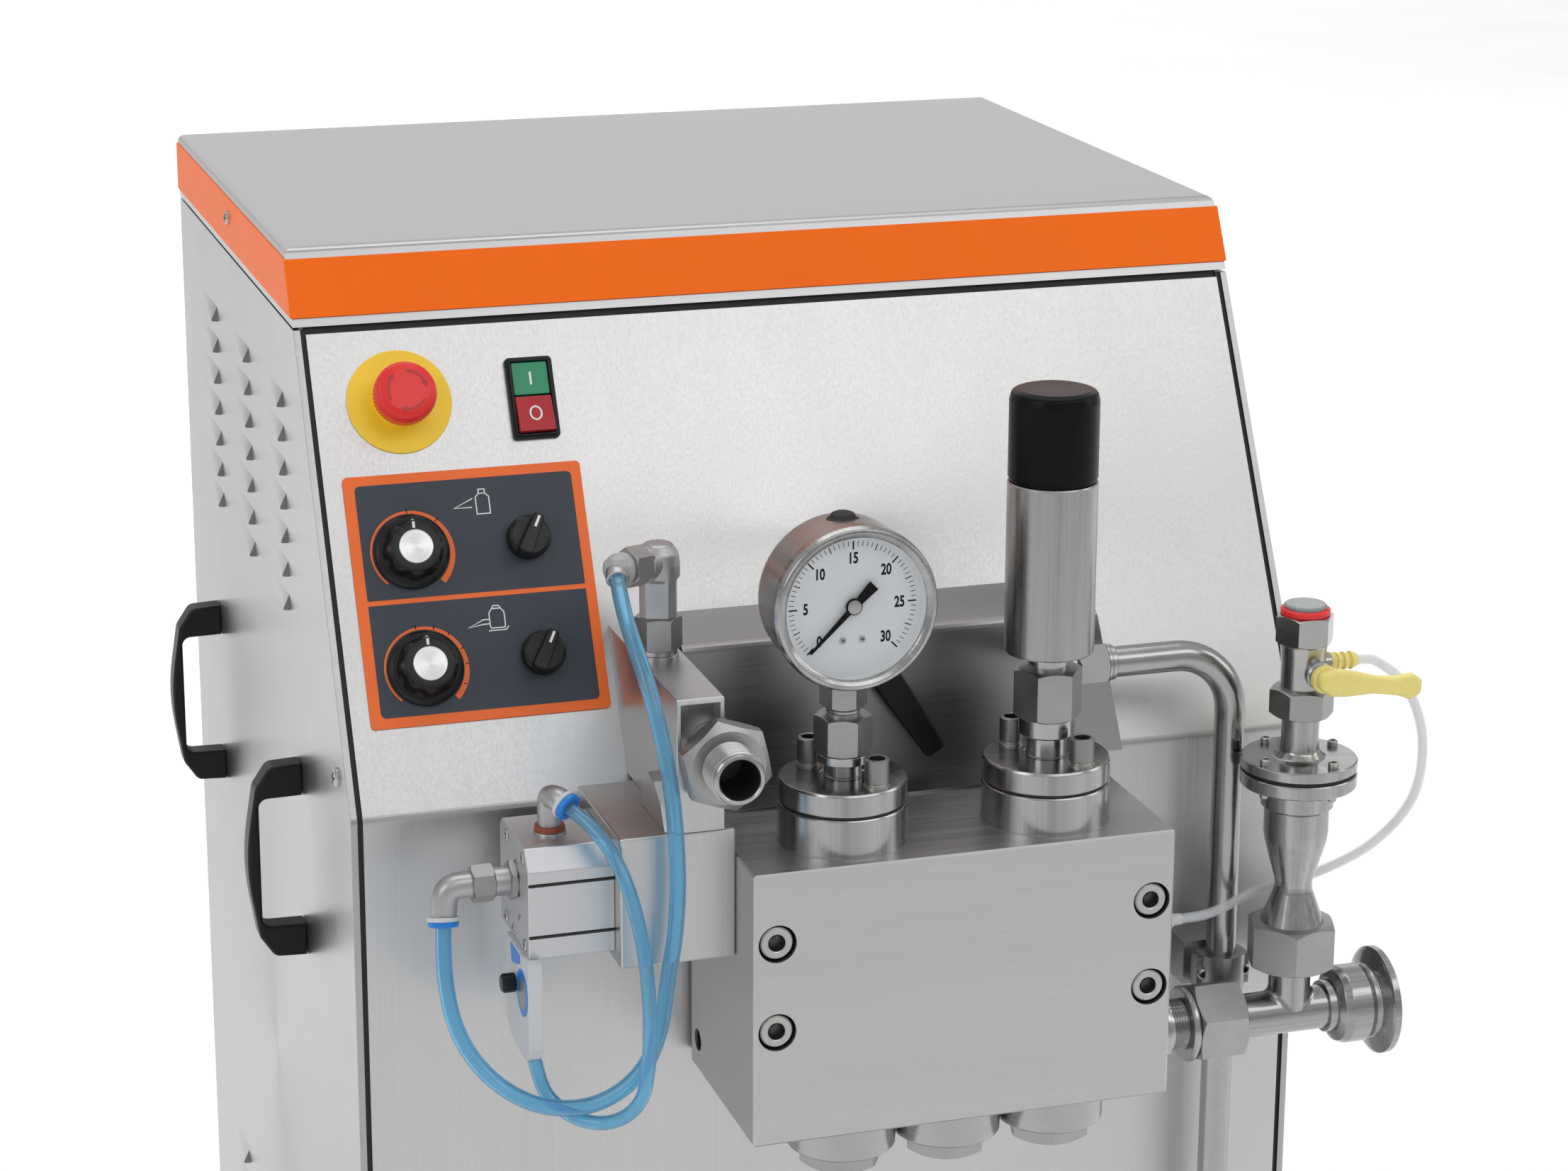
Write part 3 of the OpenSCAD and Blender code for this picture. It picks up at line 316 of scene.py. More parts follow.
# ---------------------------------------------------------------- mesh helpers
def frame_at(o, d=(0, 0, 1), roll=0.0):
    """Local z along d. Local x is world x for upright axes, and as near to up as it can be for others."""
    z = Vector(d).normalized()
    x = Vector((1, 0, 0)) if abs(z.z) > 0.9 else Vector((0, 0, 1))
    x = (x - z * x.dot(z)).normalized()
    y = z.cross(x)
    return Matrix.Translation(P(*o)) @ Matrix((x, y, z)).transposed().to_4x4() @ Matrix.Rotation(rad(roll), 4, "Z")


def slope_frame(x, z, up=0.0):
    m = Matrix(((1, 0, 0), (0, SN, CS), (0, -CS, SN))).transposed().to_4x4()
    return Matrix.Translation(P(x, K * z - CS * up, z + SN * up)) @ m


WORLD = Matrix.Translation(P(0, 0, 0))
ALONG_X = Matrix.Translation(P(0, 0, 0)) @ Matrix(((0, 0, 1), (1, 0, 0), (0, 1, 0))).to_4x4()   # (y, z, x)
ALONG_Y = Matrix.Translation(P(0, 0, 0)) @ Matrix(((1, 0, 0), (0, 0, -1), (0, 1, 0))).to_4x4()  # (x, z, -y)


def add(name, bm, m, mat, body="machine", smooth=32.0, replaces=()):
    bmesh.ops.recalc_face_normals(bm, faces=bm.faces[:])
    for v in bm.verts:
        v.co *= 0.001
    me = bpy.data.meshes.new(name)
    bm.to_mesh(me)
    bm.free()
    for p in me.polygons:
        p.use_smooth = True
    me.set_sharp_from_angle(angle=rad(smooth))
    me.materials.append(mat)
    o = bpy.data.objects.new(name, me)
    COL.objects.link(o)
    o.matrix_world = m
    wn = o.modifiers.new("weighted_normals", "WEIGHTED_NORMAL")
    wn.weight, wn.keep_sharp = 100, True
    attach(o, body)
    if replaces:
        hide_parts(*([replaces] if isinstance(replaces, str) else replaces))
    return o


def fil(pts, n=4, closed=False):
    """Rounds the corners of a polyline: a point may carry a third number, its radius."""
    out, count = [], len(pts)
    for i, p in enumerate(pts):
        r = p[2] if len(p) > 2 else 0
        if r <= 0 or (not closed and i in (0, count - 1)):
            out.append((p[0], p[1]))
            continue
        a, b, c = Vector(pts[i - 1][:2]), Vector(p[:2]), Vector(pts[(i + 1) % count][:2])
        u, v = a - b, c - b
        lu, lv = u.length, v.length
        u /= lu
        v /= lv
        ang = u.angle(v)
        if ang > math.pi - 0.02:
            out.append((p[0], p[1]))
            continue
        t = min(r / math.tan(ang / 2), 0.495 * lu, 0.495 * lv)
        rr = t * math.tan(ang / 2)
        cen = b + (u + v).normalized() * (rr / math.sin(ang / 2))
        p0, p1 = b + u * t - cen, b + v * t - cen
        a0 = math.atan2(p0.y, p0.x)
        d = math.atan2(p1.y, p1.x) - a0
        d = (d + math.pi) % (2 * math.pi) - math.pi
        out += [(cen.x + rr * math.cos(a0 + d * j / n), cen.y + rr * math.sin(a0 + d * j / n)) for j in range(n + 1)]
    return out


def rrect(w, h, r, cx=0.0, cy=0.0, n=5):
    return fil([(cx - w / 2, cy - h / 2, r), (cx + w / 2, cy - h / 2, r), (cx + w / 2, cy + h / 2, r), (cx - w / 2, cy + h / 2, r)], n, True)


def lathe(profile, seg=72, closed=False, wave=None):
    """Turns (r, z) points round z. wave(angle) scales the radius."""
    bm = bmesh.new()
    rings = []
    for r, z in profile:
        if r < 1e-6:
            rings.append([bm.verts.new((0, 0, z))])
        else:
            ring = []
            for i in range(seg):
                a = 2 * math.pi * i / seg
                q = r * (wave(a, r, z) if wave else 1.0)
                ring.append(bm.verts.new((q * math.cos(a), q * math.sin(a), z)))
            rings.append(ring)
    follow = rings[1:] + ([rings[0]] if closed else [])
    for a, b in zip(rings, follow):
        for i in range(seg):
            j = (i + 1) % seg
            if len(a) == 1 and len(b) == 1:
                break
            if len(a) == 1:
                bm.faces.new((a[0], b[i], b[j]))
            elif len(b) == 1:
                bm.faces.new((a[i], b[0], a[j]))
            else:
                bm.faces.new((a[i], a[j], b[j], b[i]))
    return bm


def rows_mesh(rows, cap0=True, cap1=True):
    bm = bmesh.new()
    rings = [[bm.verts.new(p) for p in row] for row in rows]
    n = len(rings[0])
    for a, b in zip(rings, rings[1:]):
        for i in range(n):
            j = (i + 1) % n
            bm.faces.new((a[i], a[j], b[j], b[i]))
    if cap0:
        bm.faces.new(rings[0][::-1])
    if cap1:
        bm.faces.new(rings[-1])
    return bm


def nut(r, z0, z1, bore=0.0, chamfer=(True, True), face=None, tilt=30.0, seg=96, roll=0.0):
    """Hexagon with corners at r and turned chamfers at its ends."""
    rin = r * math.cos(rad(30))
    rf = face if face else rin * 0.965
    t = math.tan(rad(tilt))

    def hexr(a):
        return rin / math.cos(rad((a % 60) - 30))

    def row(fr, fz):
        out = []
        for i in range(seg):
            a = 360.0 * i / seg
            q, w = fr(a), rad(a + roll)
            out.append((q * math.cos(w), q * math.sin(w), fz(a)))
        return out
    rows = []
    if bore:
        rows.append(row(lambda a: bore, lambda a: z1))
        rows.append(row(lambda a: bore, lambda a: z0))
    if chamfer[0]:
        rows.append(row(lambda a: rf, lambda a: z0))
        rows.append(row(hexr, lambda a: z0 + max(0.0, hexr(a) - rf) * t))
    else:
        rows.append(row(hexr, lambda a: z0))
    if chamfer[1]:
        rows.append(row(hexr, lambda a: z1 - max(0.0, hexr(a) - rf) * t))
        rows.append(row(lambda a: rf, lambda a: z1))
    else:
        rows.append(row(hexr, lambda a: z1))
    if bore:
        rows.append(row(lambda a: bore, lambda a: z1))
        bm = rows_mesh(rows, False, False)
        bmesh.ops.remove_doubles(bm, verts=bm.verts[:], dist=1e-4)
        return bm
    return rows_mesh(rows)


def soften(bm, width, seg=2, lim=25.0):
    bm.normal_update()
    bmesh.ops.recalc_face_normals(bm, faces=bm.faces[:])
    edges = [e for e in bm.edges if len(e.link_faces) == 2 and e.calc_face_angle(0) > rad(lim)]
    bmesh.ops.bevel(bm, geom=edges, offset=width, offset_type="OFFSET", segments=seg, profile=0.5, affect="EDGES", clamp_overlap=True)
    return bm


def prism(outline, z0, z1, bevel=0.0, seg=2, lim=25.0):
    bm = rows_mesh([[(x, y, z0) for x, y in outline], [(x, y, z1) for x, y in outline]])
    if bevel:
        soften(bm, bevel, seg, lim)
    return bm


def ring_prism(outer, inner, z0, z1, bevel=0.0):
    rows = [[(x, y, z1) for x, y in inner], [(x, y, z0) for x, y in inner], [(x, y, z0) for x, y in outer], [(x, y, z1) for x, y in outer], [(x, y, z1) for x, y in inner]]
    bm = rows_mesh(rows, False, False)
    bmesh.ops.remove_doubles(bm, verts=bm.verts[:], dist=1e-4)
    if bevel:
        soften(bm, bevel, 2, 40)
    return bm


def join(*bms):
    out = bmesh.new()
    for b in bms:
        me = bpy.data.meshes.new("part")
        b.to_mesh(me)
        b.free()
        out.from_mesh(me)
        bpy.data.meshes.remove(me)
    return out


def moved(bm, x=0.0, y=0.0, z=0.0, rot=0.0, axis="Z"):
    bmesh.ops.transform(bm, matrix=Matrix.Translation((x, y, z)) @ Matrix.Rotation(rad(rot), 4, axis), verts=bm.verts[:])
    return bm


def smooth_path(pts, per=8):
    """Catmull-Rom curve through the points."""
    p = [Vector(q) for q in pts]
    p = [p[0] * 2 - p[1]] + p + [p[-1] * 2 - p[-2]]
    out = []
    for i in range(1, len(p) - 2):
        a, b, c, d = p[i - 1], p[i], p[i + 1], p[i + 2]
        for j in range(per):
            t = j / per
            out.append(0.5 * ((2 * b) + (c - a) * t + (2 * a - 5 * b + 4 * c - d) * t * t + (3 * b - a - 3 * c + d) * t ** 3))
    out.append(p[-2])
    return out


def sweep(path, section, grow=None, cap=True, up=(0.1, 1, 0.25)):
    """Draws a closed section along a path. section(i) gives 2-D points, grow(i) scales them."""
    path = [Vector(q) for q in path]
    n = len(path)
    tan = [(path[min(i + 1, n - 1)] - path[max(i - 1, 0)]).normalized() for i in range(n)]
    u = Vector(up).cross(tan[0]).normalized()
    rows = []
    for i in range(n):
        u = (u - tan[i] * u.dot(tan[i])).normalized()
        v = tan[i].cross(u)
        g = grow(i / (n - 1)) if grow else 1.0
        rows.append([tuple(path[i] + u * (a * g) + v * (b * g)) for a, b in section])
    return rows_mesh(rows, cap, cap)


def circle(r, n=20):
    return [(r * math.cos(2 * math.pi * i / n), r * math.sin(2 * math.pi * i / n)) for i in range(n)]


def hollow(path, r, bore, seg=22):
    """A tube with its bore and ring ends."""
    a = sweep(path, circle(r, seg), cap=False)
    b = sweep(path, circle(bore, seg), cap=False)
    for f in b.faces:
        f.normal_flip()
    bm = join(a, b)
    bm.verts.ensure_lookup_table()
    n = len(path)
    for k in (0, n - 1):
        o, i = k * seg, (n + k) * seg
        for j in range(seg):
            m = (j + 1) % seg
            bm.faces.new((bm.verts[o + j], bm.verts[o + m], bm.verts[i + m], bm.verts[i + j]))
    return bm


def ribbon(line, width, z0, z1, closed=False):
    """Flat printed line of a width in the local xy plane."""
    p = [Vector(q) for q in line]
    n = len(p)
    left, right = [], []
    for i in range(n):
        a = p[i - 1] if (i or closed) else p[i]
        b = p[(i + 1) % n] if (i < n - 1 or closed) else p[i]
        d1 = (p[i] - a).normalized() if (p[i] - a).length else (b - p[i]).normalized()
        d2 = (b - p[i]).normalized() if (b - p[i]).length else d1
        nn = Vector((-(d1.y + d2.y), d1.x + d2.x))
        nn.normalize()
        w = width / 2 / max(0.5, nn.dot(Vector((-d1.y, d1.x))))
        left.append(p[i] + nn * w)
        right.append(p[i] - nn * w)
    bm = bmesh.new()
    lo = [[bm.verts.new((q.x, q.y, z0)) for q in side] for side in (left, right)]
    hi = [[bm.verts.new((q.x, q.y, z1)) for q in side] for side in (left, right)]
    for i in range(n if closed else n - 1):
        j = (i + 1) % n
        bm.faces.new((hi[0][i], hi[0][j], hi[1][j], hi[1][i]))
        bm.faces.new((lo[0][i], lo[0][j], lo[1][j], lo[1][i]))
        bm.faces.new((lo[0][i], lo[0][j], hi[0][j], hi[0][i]))
        bm.faces.new((lo[1][i], lo[1][j], hi[1][j], hi[1][i]))
    if not closed:
        for i in (0, n - 1):
            bm.faces.new((lo[0][i], lo[1][i], hi[1][i], hi[0][i]))
    return bm


def fan(r0, r1, a0, a1, z0, z1, n=60):
    """Ring sector; r0 and r1 may be functions of the share along it. Angles in degrees, anticlockwise from local x."""
    f0 = r0 if callable(r0) else (lambda s: r0)
    f1 = r1 if callable(r1) else (lambda s: r1)
    inner, outer = [], []
    for i in range(n + 1):
        s = i / n
        a = rad(a0 + (a1 - a0) * s)
        inner.append((f0(s) * math.cos(a), f0(s) * math.sin(a)))
        outer.append((f1(s) * math.cos(a), f1(s) * math.sin(a)))
    bm = bmesh.new()
    v = [[bm.verts.new((*p, z)) for p in side] for side, z in ((inner, z0), (outer, z0), (inner, z1), (outer, z1))]
    for i in range(n):
        bm.faces.new((v[2][i], v[2][i + 1], v[3][i + 1], v[3][i]))
        bm.faces.new((v[0][i], v[0][i + 1], v[1][i + 1], v[1][i]))
        bm.faces.new((v[0][i], v[0][i + 1], v[2][i + 1], v[2][i]))
        bm.faces.new((v[1][i], v[1][i + 1], v[3][i + 1], v[3][i]))
    for i in (0, n):
        bm.faces.new((v[0][i], v[1][i], v[3][i], v[2][i]))
    return bm


def lettering(s, size, painted_reflection_band, z0, z1):
    """Numbers in the built-in typeface, as a raised mesh centred on the local origin."""
    cu = bpy.data.curves.new("figures", "FONT")
    cu.body = s
    cu.size = size
    cu.align_x, cu.align_y = "CENTER", "CENTER"
    cu.extrude = (z1 - z0) / 2
    cu.offset = 0.03 * size
    cu.resolution_u = 6
    ob = bpy.data.objects.new("figures", cu)
    COL.objects.link(ob)
    bpy.context.view_layer.update()
    me = bpy.data.meshes.new_from_object(ob.evaluated_get(bpy.context.evaluated_depsgraph_get()))
    bm = bmesh.new()
    bm.from_mesh(me)
    bpy.data.objects.remove(ob)
    bpy.data.curves.remove(cu)
    bpy.data.meshes.remove(me)
    bmesh.ops.scale(bm, vec=(painted_reflection_band, 1, 1), verts=bm.verts[:])
    return moved(bm, z=(z0 + z1) / 2)


def softened_copy(node, name, mat, width, seg=2, lim=25.0, body="machine", weld=0.00002, smooth=18.0, flat=False):
    """The CAD node with its flat faces joined up and its edges broken, in the node's own place."""
    bm = bmesh.new()
    bm.from_mesh(NODE[node].data)
    bmesh.ops.remove_doubles(bm, verts=bm.verts[:], dist=weld)
    bmesh.ops.dissolve_limit(bm, angle_limit=rad(0.6), use_dissolve_boundaries=False, verts=bm.verts[:], edges=bm.edges[:])
    bmesh.ops.scale(bm, vec=(1000, 1000, 1000), verts=bm.verts[:])
    soften(bm, width, seg, lim)
    o = add(name, bm, Matrix.Identity(4), mat, body, smooth, node)
    if flat:
        for p in o.data.polygons:
            p.use_smooth = False
        o.modifiers.clear()
    return o


def dress(mat, *names):
    for n in names:
        o = NODE[n]
        o.data.materials.clear()
        o.data.materials.append(mat)


# ---------------------------------------------------------------- free tubes
ROUTE1 = [(-145, -193, -155.5), (-146.4, -203, -161), (-147.5, -217, -168.8), (-147.2, -231, -178.4),
          (-145.1, -244.5, -191.8), (-142.2, -256, -209.4), (-139.6, -264, -228), (-137.2, -269, -248),
          (-135.4, -271.5, -270), (-134.2, -272, -292), (-134, -271.5, -314), (-135.6, -270.5, -338),
          (-138.2, -269.4, -356), (-140.5, -269, -373), (-144.2, -270.3, -390.6), (-151.1, -271.4, -406.8),
          (-161.9, -270.1, -420), (-175.5, -266.9, -429.2), (-190.6, -262.1, -433.6), (-206.3, -256.1, -433),
          (-221.1, -249.3, -427.3), (-234.1, -242.2, -417), (-244.1, -235.5, -403), (-250.3, -228.6, -385.2),
          (-252.4, -221.2, -362), (-251, -214, -338)]
ROUTE2 = [(-183, -228, -272), (-174.5, -241.5, -278.5), (-166.5, -254.5, -290), (-160.5, -265, -306),
          (-156.5, -273.5, -326), (-154, -279.5, -349), (-153.2, -282.6, -372), (-153.6, -283.8, -392),
          (-154.8, -284, -409), (-157.3, -282.1, -423), (-163.8, -276.7, -434.6), (-173.3, -268.8, -441.7),
          (-184.3, -259.7, -443.2), (-194.7, -251, -438.8), (-202.9, -244.2, -429.2), (-207.6, -240.3, -411)]
ROUTE3 = [(289, -225, -232), (303, -225, -235), (323, -225, -253), (334.6, -225, -285), (332, -222, -322), (312, -213, -352),
          (281, -203, -371), (246, -199, -379), (218, -214, -381), (200, -223, -381), (184, -225, -381)]


def hose(name, route, d, bore, mat, node):
    line = smooth_path(route, 6)
    o = add(name, hollow(line, d / 2, bore / 2), WORLD, mat, replaces=node)
    return o


hose("air_hose_1", ROUTE1, 9.0, 6.2, M_TUBE, "air_tube_1")
hose("air_hose_2", ROUTE2, 8.0, 5.6, M_TUBE, "air_tube_2")
hose("vent_hose", ROUTE3, 6.0, 4.4, M_HOSE, "clear_hose")

# ---------------------------------------------------------------- cabinet
dress(M_COVER, "top_cover")
dress(M_ORANGE, "orange_band")
dress(M_FRONT, "front_panel")
dress(M_SIDE, "rear_panel")
dress(M_FRAME, "base_frame")
dress(M_MOTOR, "motor")
dress(M_IRON, "crankcase")
dress(M_POLISH, "crankshaft", "plunger_1", "plunger_2", "plunger_3", "air_piston")
dress(M_RUBBER, "gaskets")

Y_LOW, BEND, BEND_R = -294.7 * K, -294.7, 10.0
BEND_T = BEND_R * math.tan(SLOPE / 2)


def front_line(o, z_low, z_top, n=6):
    """Front profile in y, z, a distance o behind the outer face."""
    pts = [(Y_LOW + o, z_low)]
    for i in range(n + 1):
        a = rad(180) - SLOPE * i / n
        pts.append((Y_LOW + BEND_R + (BEND_R - o) * math.cos(a), BEND - BEND_T + (BEND_R - o) * math.sin(a)))
    return pts + [(z_top * K + o / CS, z_top)]


for side, x0 in (("left", -286.0), ("right", 283.0)):
    line = front_line(1.6, -1046, -44) + front_line(6.0, -1046, -44)[::-1]
    add("seal_strip_" + side, prism(line, x0 + 0.05, x0 + 2.95), ALONG_X, M_RUBBER)
lip = [(-42.2 * K + 3.2, -42.2), (-42.2 * K + 9, -42.2), (-47.5 * K + 9, -47.5), (-47.5 * K + 3.2, -47.5)]
add("seal_strip_top", prism(lip, -284, 284, 0.4), ALONG_X, M_RUBBER)


def screw_head(name, m, r=3.4, h=1.7, body="machine", slot=True, mat=None):
    dome = [(0, h)] + [(r * math.sin(a), h * (0.35 + 0.65 * math.cos(a))) for a in [rad(x) for x in (20, 40, 60, 80, 90)]] + [(r, 0), (0, -0.2)]
    bm = lathe(dome, 32)
    add(name, bm, m, mat or M_SCREW, body)
    if slot:
        # cross recess drawn near-black: painted shade in the recess
        cross = join(prism(rrect(r * 1.0, r * 0.24, 0.1), h * 0.62, h + 0.06), prism(rrect(r * 0.24, r * 1.0, 0.1), h * 0.62, h + 0.06))
        add(name + "_recess_shade", cross, m, M_RECESS_SHADE, body)


def socket_screw(name, m, r, h, hexr, mat=None, knurl=False, body="machine", depth=None, replaces=()):
    """Cylinder head with a hexagon socket, seat at local z 0."""
    depth = depth or h * 0.55
    prof = fil([(0, 0), (r * 0.93, 0), (r, 0.5), (r, h - 0.8, 0.5), (r - 0.9, h, 0.3), (hexr * 1.13, h), (hexr * 1.02, h - 0.35)], 3)
    teeth = (lambda a, q, z: 1.0 + (0.034 * math.cos(44 * a) if (q > r * 0.96 and h * 0.12 < z < h * 0.9) else 0.0)) if knurl else None
    bm = lathe(prof, 176 if knurl else 64, wave=teeth)
    inner = nut(hexr, h - depth, h - 0.3, chamfer=(False, False), seg=48)
    top = [f for f in inner.faces if len(f.verts) > 4 and f.calc_center_median().z > h - 0.6]
    bmesh.ops.delete(inner, geom=top, context="FACES_ONLY")
    for f in inner.faces:
        f.normal_flip()
    me = bpy.data.meshes.new(name)
    o = add(name, bm, m, mat or M_SCREW, body, 28, replaces)
    for v in inner.verts:
        v.co *= 0.001
    inner.to_mesh(me)
    inner.free()
    # the socket's inside in the dark steel: painted shade
    me.materials.append(M_SOCKET_SHADE)
    s = bpy.data.objects.new(name + "_socket", me)
    COL.objects.link(s)
    s.matrix_world = m
    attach(s, body)
    return o


for i, (y, z) in enumerate(((192.5, -18.0),)):
    screw_head("band_screw_left_%d" % i, frame_at((-291.0, y, z), (-1, 0, 0)), 4.4, 2.4)
    screw_head("band_screw_right_%d" % i, frame_at((291.0, y, z), (1, 0, 0)), 4.4, 2.4)
for i, (y, z) in enumerate(((-121.7, -279.5), (-121.7, -640.0), (-121.7, -960.0), (380.0, -960.0))):
    screw_head("side_screw_left_%d" % i, frame_at((-290.0, y, z), (-1, 0, 0)), 5.8, 3.0)
    screw_head("side_screw_right_%d" % i, frame_at((290.0, y, z), (1, 0, 0)), 5.8, 3.0)
for i, (x, z) in enumerate(((-262, -70), (0, -70), (262, -70), (-262, -560), (262, -560), (-262, -1030), (0, -1030), (262, -1030))):
    screw_head("rear_screw_%d" % i, frame_at((x, 404.0, z), (0, 1, 0)), 4.0, 2.0)

# side sheets with shallow pressed louvres, and dark slits at the louvre mouths that paint the shade of their open ends
for side, sg in (("left", -1), ("right", 1)):
    sheet = front_line(0.0, -1050, -43.5) + [(404.0, -43.5), (404.0, -1050)]
    x0, x1 = sorted((sg * 286.0, sg * 290.0))
    parts, mouth_shade = [prism(sheet, x0, x1, 0.3, 2, 60)], []
    for y in (20, 139, 260):
        for g in (-99, -692):
            for i in range(7):
                zb = g - 20.7 * i
                rows = []
                for k in range(13):
                    t = k / 12.0
                    f = (1.0 - t) ** 1.4
                    prof = [(289.6, 11.5), (290.0 + 0.5 * f, 9.0), (290.0 + 2.2 * f, 5.2), (290.0 + 3.8 * f, 1.9), (290.0 + 3.6 * f, 0.7), (289.6, 0.2)]
                    rows.append([(y + 63.0 * t, zb + b, sg * a) for a, b in prof])
                parts.append(rows_mesh(rows))
                # dark slit at each louvre's front mouth: painted shade of the open end
                mouth = fil([(289.8, zb + 10.6), (290.5, zb + 8.9, 1), (292.1, zb + 5.1, 2), (293.5, zb + 1.9, 0.8), (293.3, zb + 0.9, 0.5), (289.8, zb + 0.5)], 3, True)
                mouth_shade.append(moved(prism([(sg * a, c) for a, c in mouth], -0.25, 0.25), 0, 0, -y + 0.2))
    add("side_sheet_" + side, join(*parts), ALONG_X, M_SIDE, replaces=side + "_side_panel", smooth=40)
    # the slits borrow the darker knurled steel as painted shade
    add("louvre_mouth_shade_" + side, join(*mouth_shade), ALONG_Y, M_KNURL)

# grips
GRIP_OUT = [(290.3, -61), (309.5, -60.2, 6), (318.4, -47, 9), (326.0, 0, 160), (318.4, 47, 9), (309.5, 60.2, 6), (290.3, 61)]
GRIP_IN = [(290.3, 41), (316.4, 40.4, 5.5), (316.4, -40.4, 5.5), (290.3, -41)]


def pillow(outline, depth, rim):
    """A flat outline with rounded edges: rows shrink towards both faces by the offset along the outline's own normals."""
    n = len(outline)
    pts = [Vector(q) for q in outline]
    area = sum(pts[i].x * pts[(i + 1) % n].y - pts[(i + 1) % n].x * pts[i].y for i in range(n))
    sg = 1.0 if area > 0 else -1.0
    nor = []
    for i in range(n):
        a, b = pts[i] - pts[i - 1], pts[(i + 1) % n] - pts[i]
        t = (a.normalized() + b.normalized())
        nor.append(Vector((t.y, -t.x)).normalized() * sg if t.length > 1e-6 else Vector((0, 0)))
    rows = []
    for a in (0, 22, 45, 68, 90):
        ins, z = rim * (1 - math.sin(rad(a))), -depth + rim * (1 - math.cos(rad(a)))
        rows.append([(*(p - q * ins), z) for p, q in zip(pts, nor)])
    return rows_mesh(rows + [[(x, y, -z) for x, y, z in row] for row in rows[::-1]])


for side, sg in (("left", -1), ("right", 1)):
    for y, w, zc in ((4.0, "front", -372.5), (300.0, "rear", -361.0)):
        ring = fil(GRIP_OUT + GRIP_IN, 6, True)
        bm = moved(pillow([(sg * a, z + zc) for a, z in ring], 7.9, 1.9), 0, 0, -y)
        add("grip_%s_%s" % (side, w), bm, ALONG_Y, M_BLACK, replaces="side_handles", smooth=60)
        for zz in (-1, 1):
            # short recess over each fixing screw, in the slanted corner face, drawn as a near-black inset: painted
            # shade
            nrm = Vector((sg * 0.829, 0.0, zz * 0.559))
            run = Vector((-sg * zz * 0.559, 0.0, 0.829))
            m = Matrix.Translation(P(sg * 313.7, y, zc + zz * 53.2)) @ Matrix((run, nrm.cross(run), nrm)).transposed().to_4x4()
            pocket = fil([(-4.3, -3.1, 3.0), (4.3, -3.1, 3.0), (4.3, 3.1, 3.0), (-4.3, 3.1, 3.0)], 6, True)
            add("grip_pocket_%s_%s_%d" % (side, w, (zz + 1) // 2), prism(pocket, -0.4, 0.22, 0.1), m, M_RECESS_SHADE)

# ---------------------------------------------------------------- hood and its lever
# the hood shell wears the darkened hood steel: painted shade of the recess
softened_copy("plunger_hood", "hood_shell", M_HOOD_SHADE, 0.5, 1, 35, flat=True)
arm = fil([(-6, -9, 8), (30, -8.4, 30), (72.5, -6.6, 3.4), (72.5, 6.6, 3.4), (30, 8.4, 30), (-6, 9, 8)], 5, True)
ARM = Matrix.Translation(P(9.4, -167.2, -221)) @ Matrix.Rotation(rad(56.2), 4, "Y") @ Matrix.Rotation(rad(90), 4, "X")
add("lever_arm", prism(arm, 0.2, 8.8, 2.2, 3, 40), ARM, M_BLACK, "hood_lever_body", replaces="hood_lever", smooth=40)
add("lever_boss", lathe(fil([(0, 0), (9.2, 0), (9.2, 15, 1.5), (0, 16)], 4), 48), frame_at((9.4, -160.3, -221), (0, -1, 0)), M_BLACK, "hood_lever_body")

# ---------------------------------------------------------------- control plate
PLATE = slope_frame(-202.9, -185.9)
W2, H2 = 69.4, 72.8


def uv(u, v):
    """Plate coordinates from its upper left corner to the local frame."""
    return (u - W2, H2 - v)


add("control_face", prism(rrect(138.8, 145.6, 2.6), 0.0, 1.5, 0.25, 2, 50), PLATE, M_PRINT, replaces="control_plate")


def field(name, v0, v1, rt, rb):
    a = [uv(6.2, v1) + (rb,), uv(132.8, v1) + (rb,), uv(132.8, v0) + (rt,), uv(6.2, v0) + (rt,)]
    add(name, prism(fil(a, 5, True), 1.5, 1.62, 0.03, 1, 50), PLATE, M_SLATE)


field("control_field_upper", 5.7, 72.5, 3.0, 0.8)
field("control_field_lower", 75.3, 139.8, 0.8, 3.0)
for name, z, ticks in (("upper", -162.3, (90, 47)), ("lower", -221.8, (97, 72, 50, 24, 2, -26))):
    m = slope_frame(-237.8, z)
    add("scale_band_" + name, fan(22.4, lambda s: 23.5 + 2.4 * s * s, 228, -48, 1.62, 1.70, 90), m, M_PRINT)
    marks = [moved(prism(rrect(3.0 if j < 2 else 1.6, 0.55, 0.05), 1.70, 1.76), 24.2 * math.cos(rad(a)), 24.2 * math.sin(rad(a)), 0, a) for j, a in enumerate(ticks)]
    add("scale_marks_" + name, join(*marks), m, M_INK)

# pictograms: a bottle with a jet, and a flask with a jet
bx, by = uv(79.0, 20.0)
bottle = [(-3.9, -7.0), (3.9, -7.0), (3.9, 3.0), (1.8, 5.0), (1.8, 7.4), (-1.8, 7.4), (-1.8, 5.0), (-3.9, 3.0)]
add("pictogram_bottle", join(
    ribbon([(bx + a, by + b) for a, b in bottle], 0.62, 1.62, 1.68, True),
    ribbon([(bx - 5.6, by + 2.4), (bx - 17.0, by - 2.8), (bx - 6.4, by - 2.8)], 0.62, 1.62, 1.68),
    ribbon([(bx - 1.8, by + 5.0), (bx + 1.8, by + 5.0)], 0.5, 1.62, 1.68)), PLATE, M_WINK)
bx, by = uv(79.0, 87.5)
flask = [(-4.4, -4.6), (-4.0, -6.2), (4.0, -6.2), (4.4, -4.6), (4.4, 2.6), (2.6, 5.0), (-2.6, 5.0), (-4.4, 2.6)]
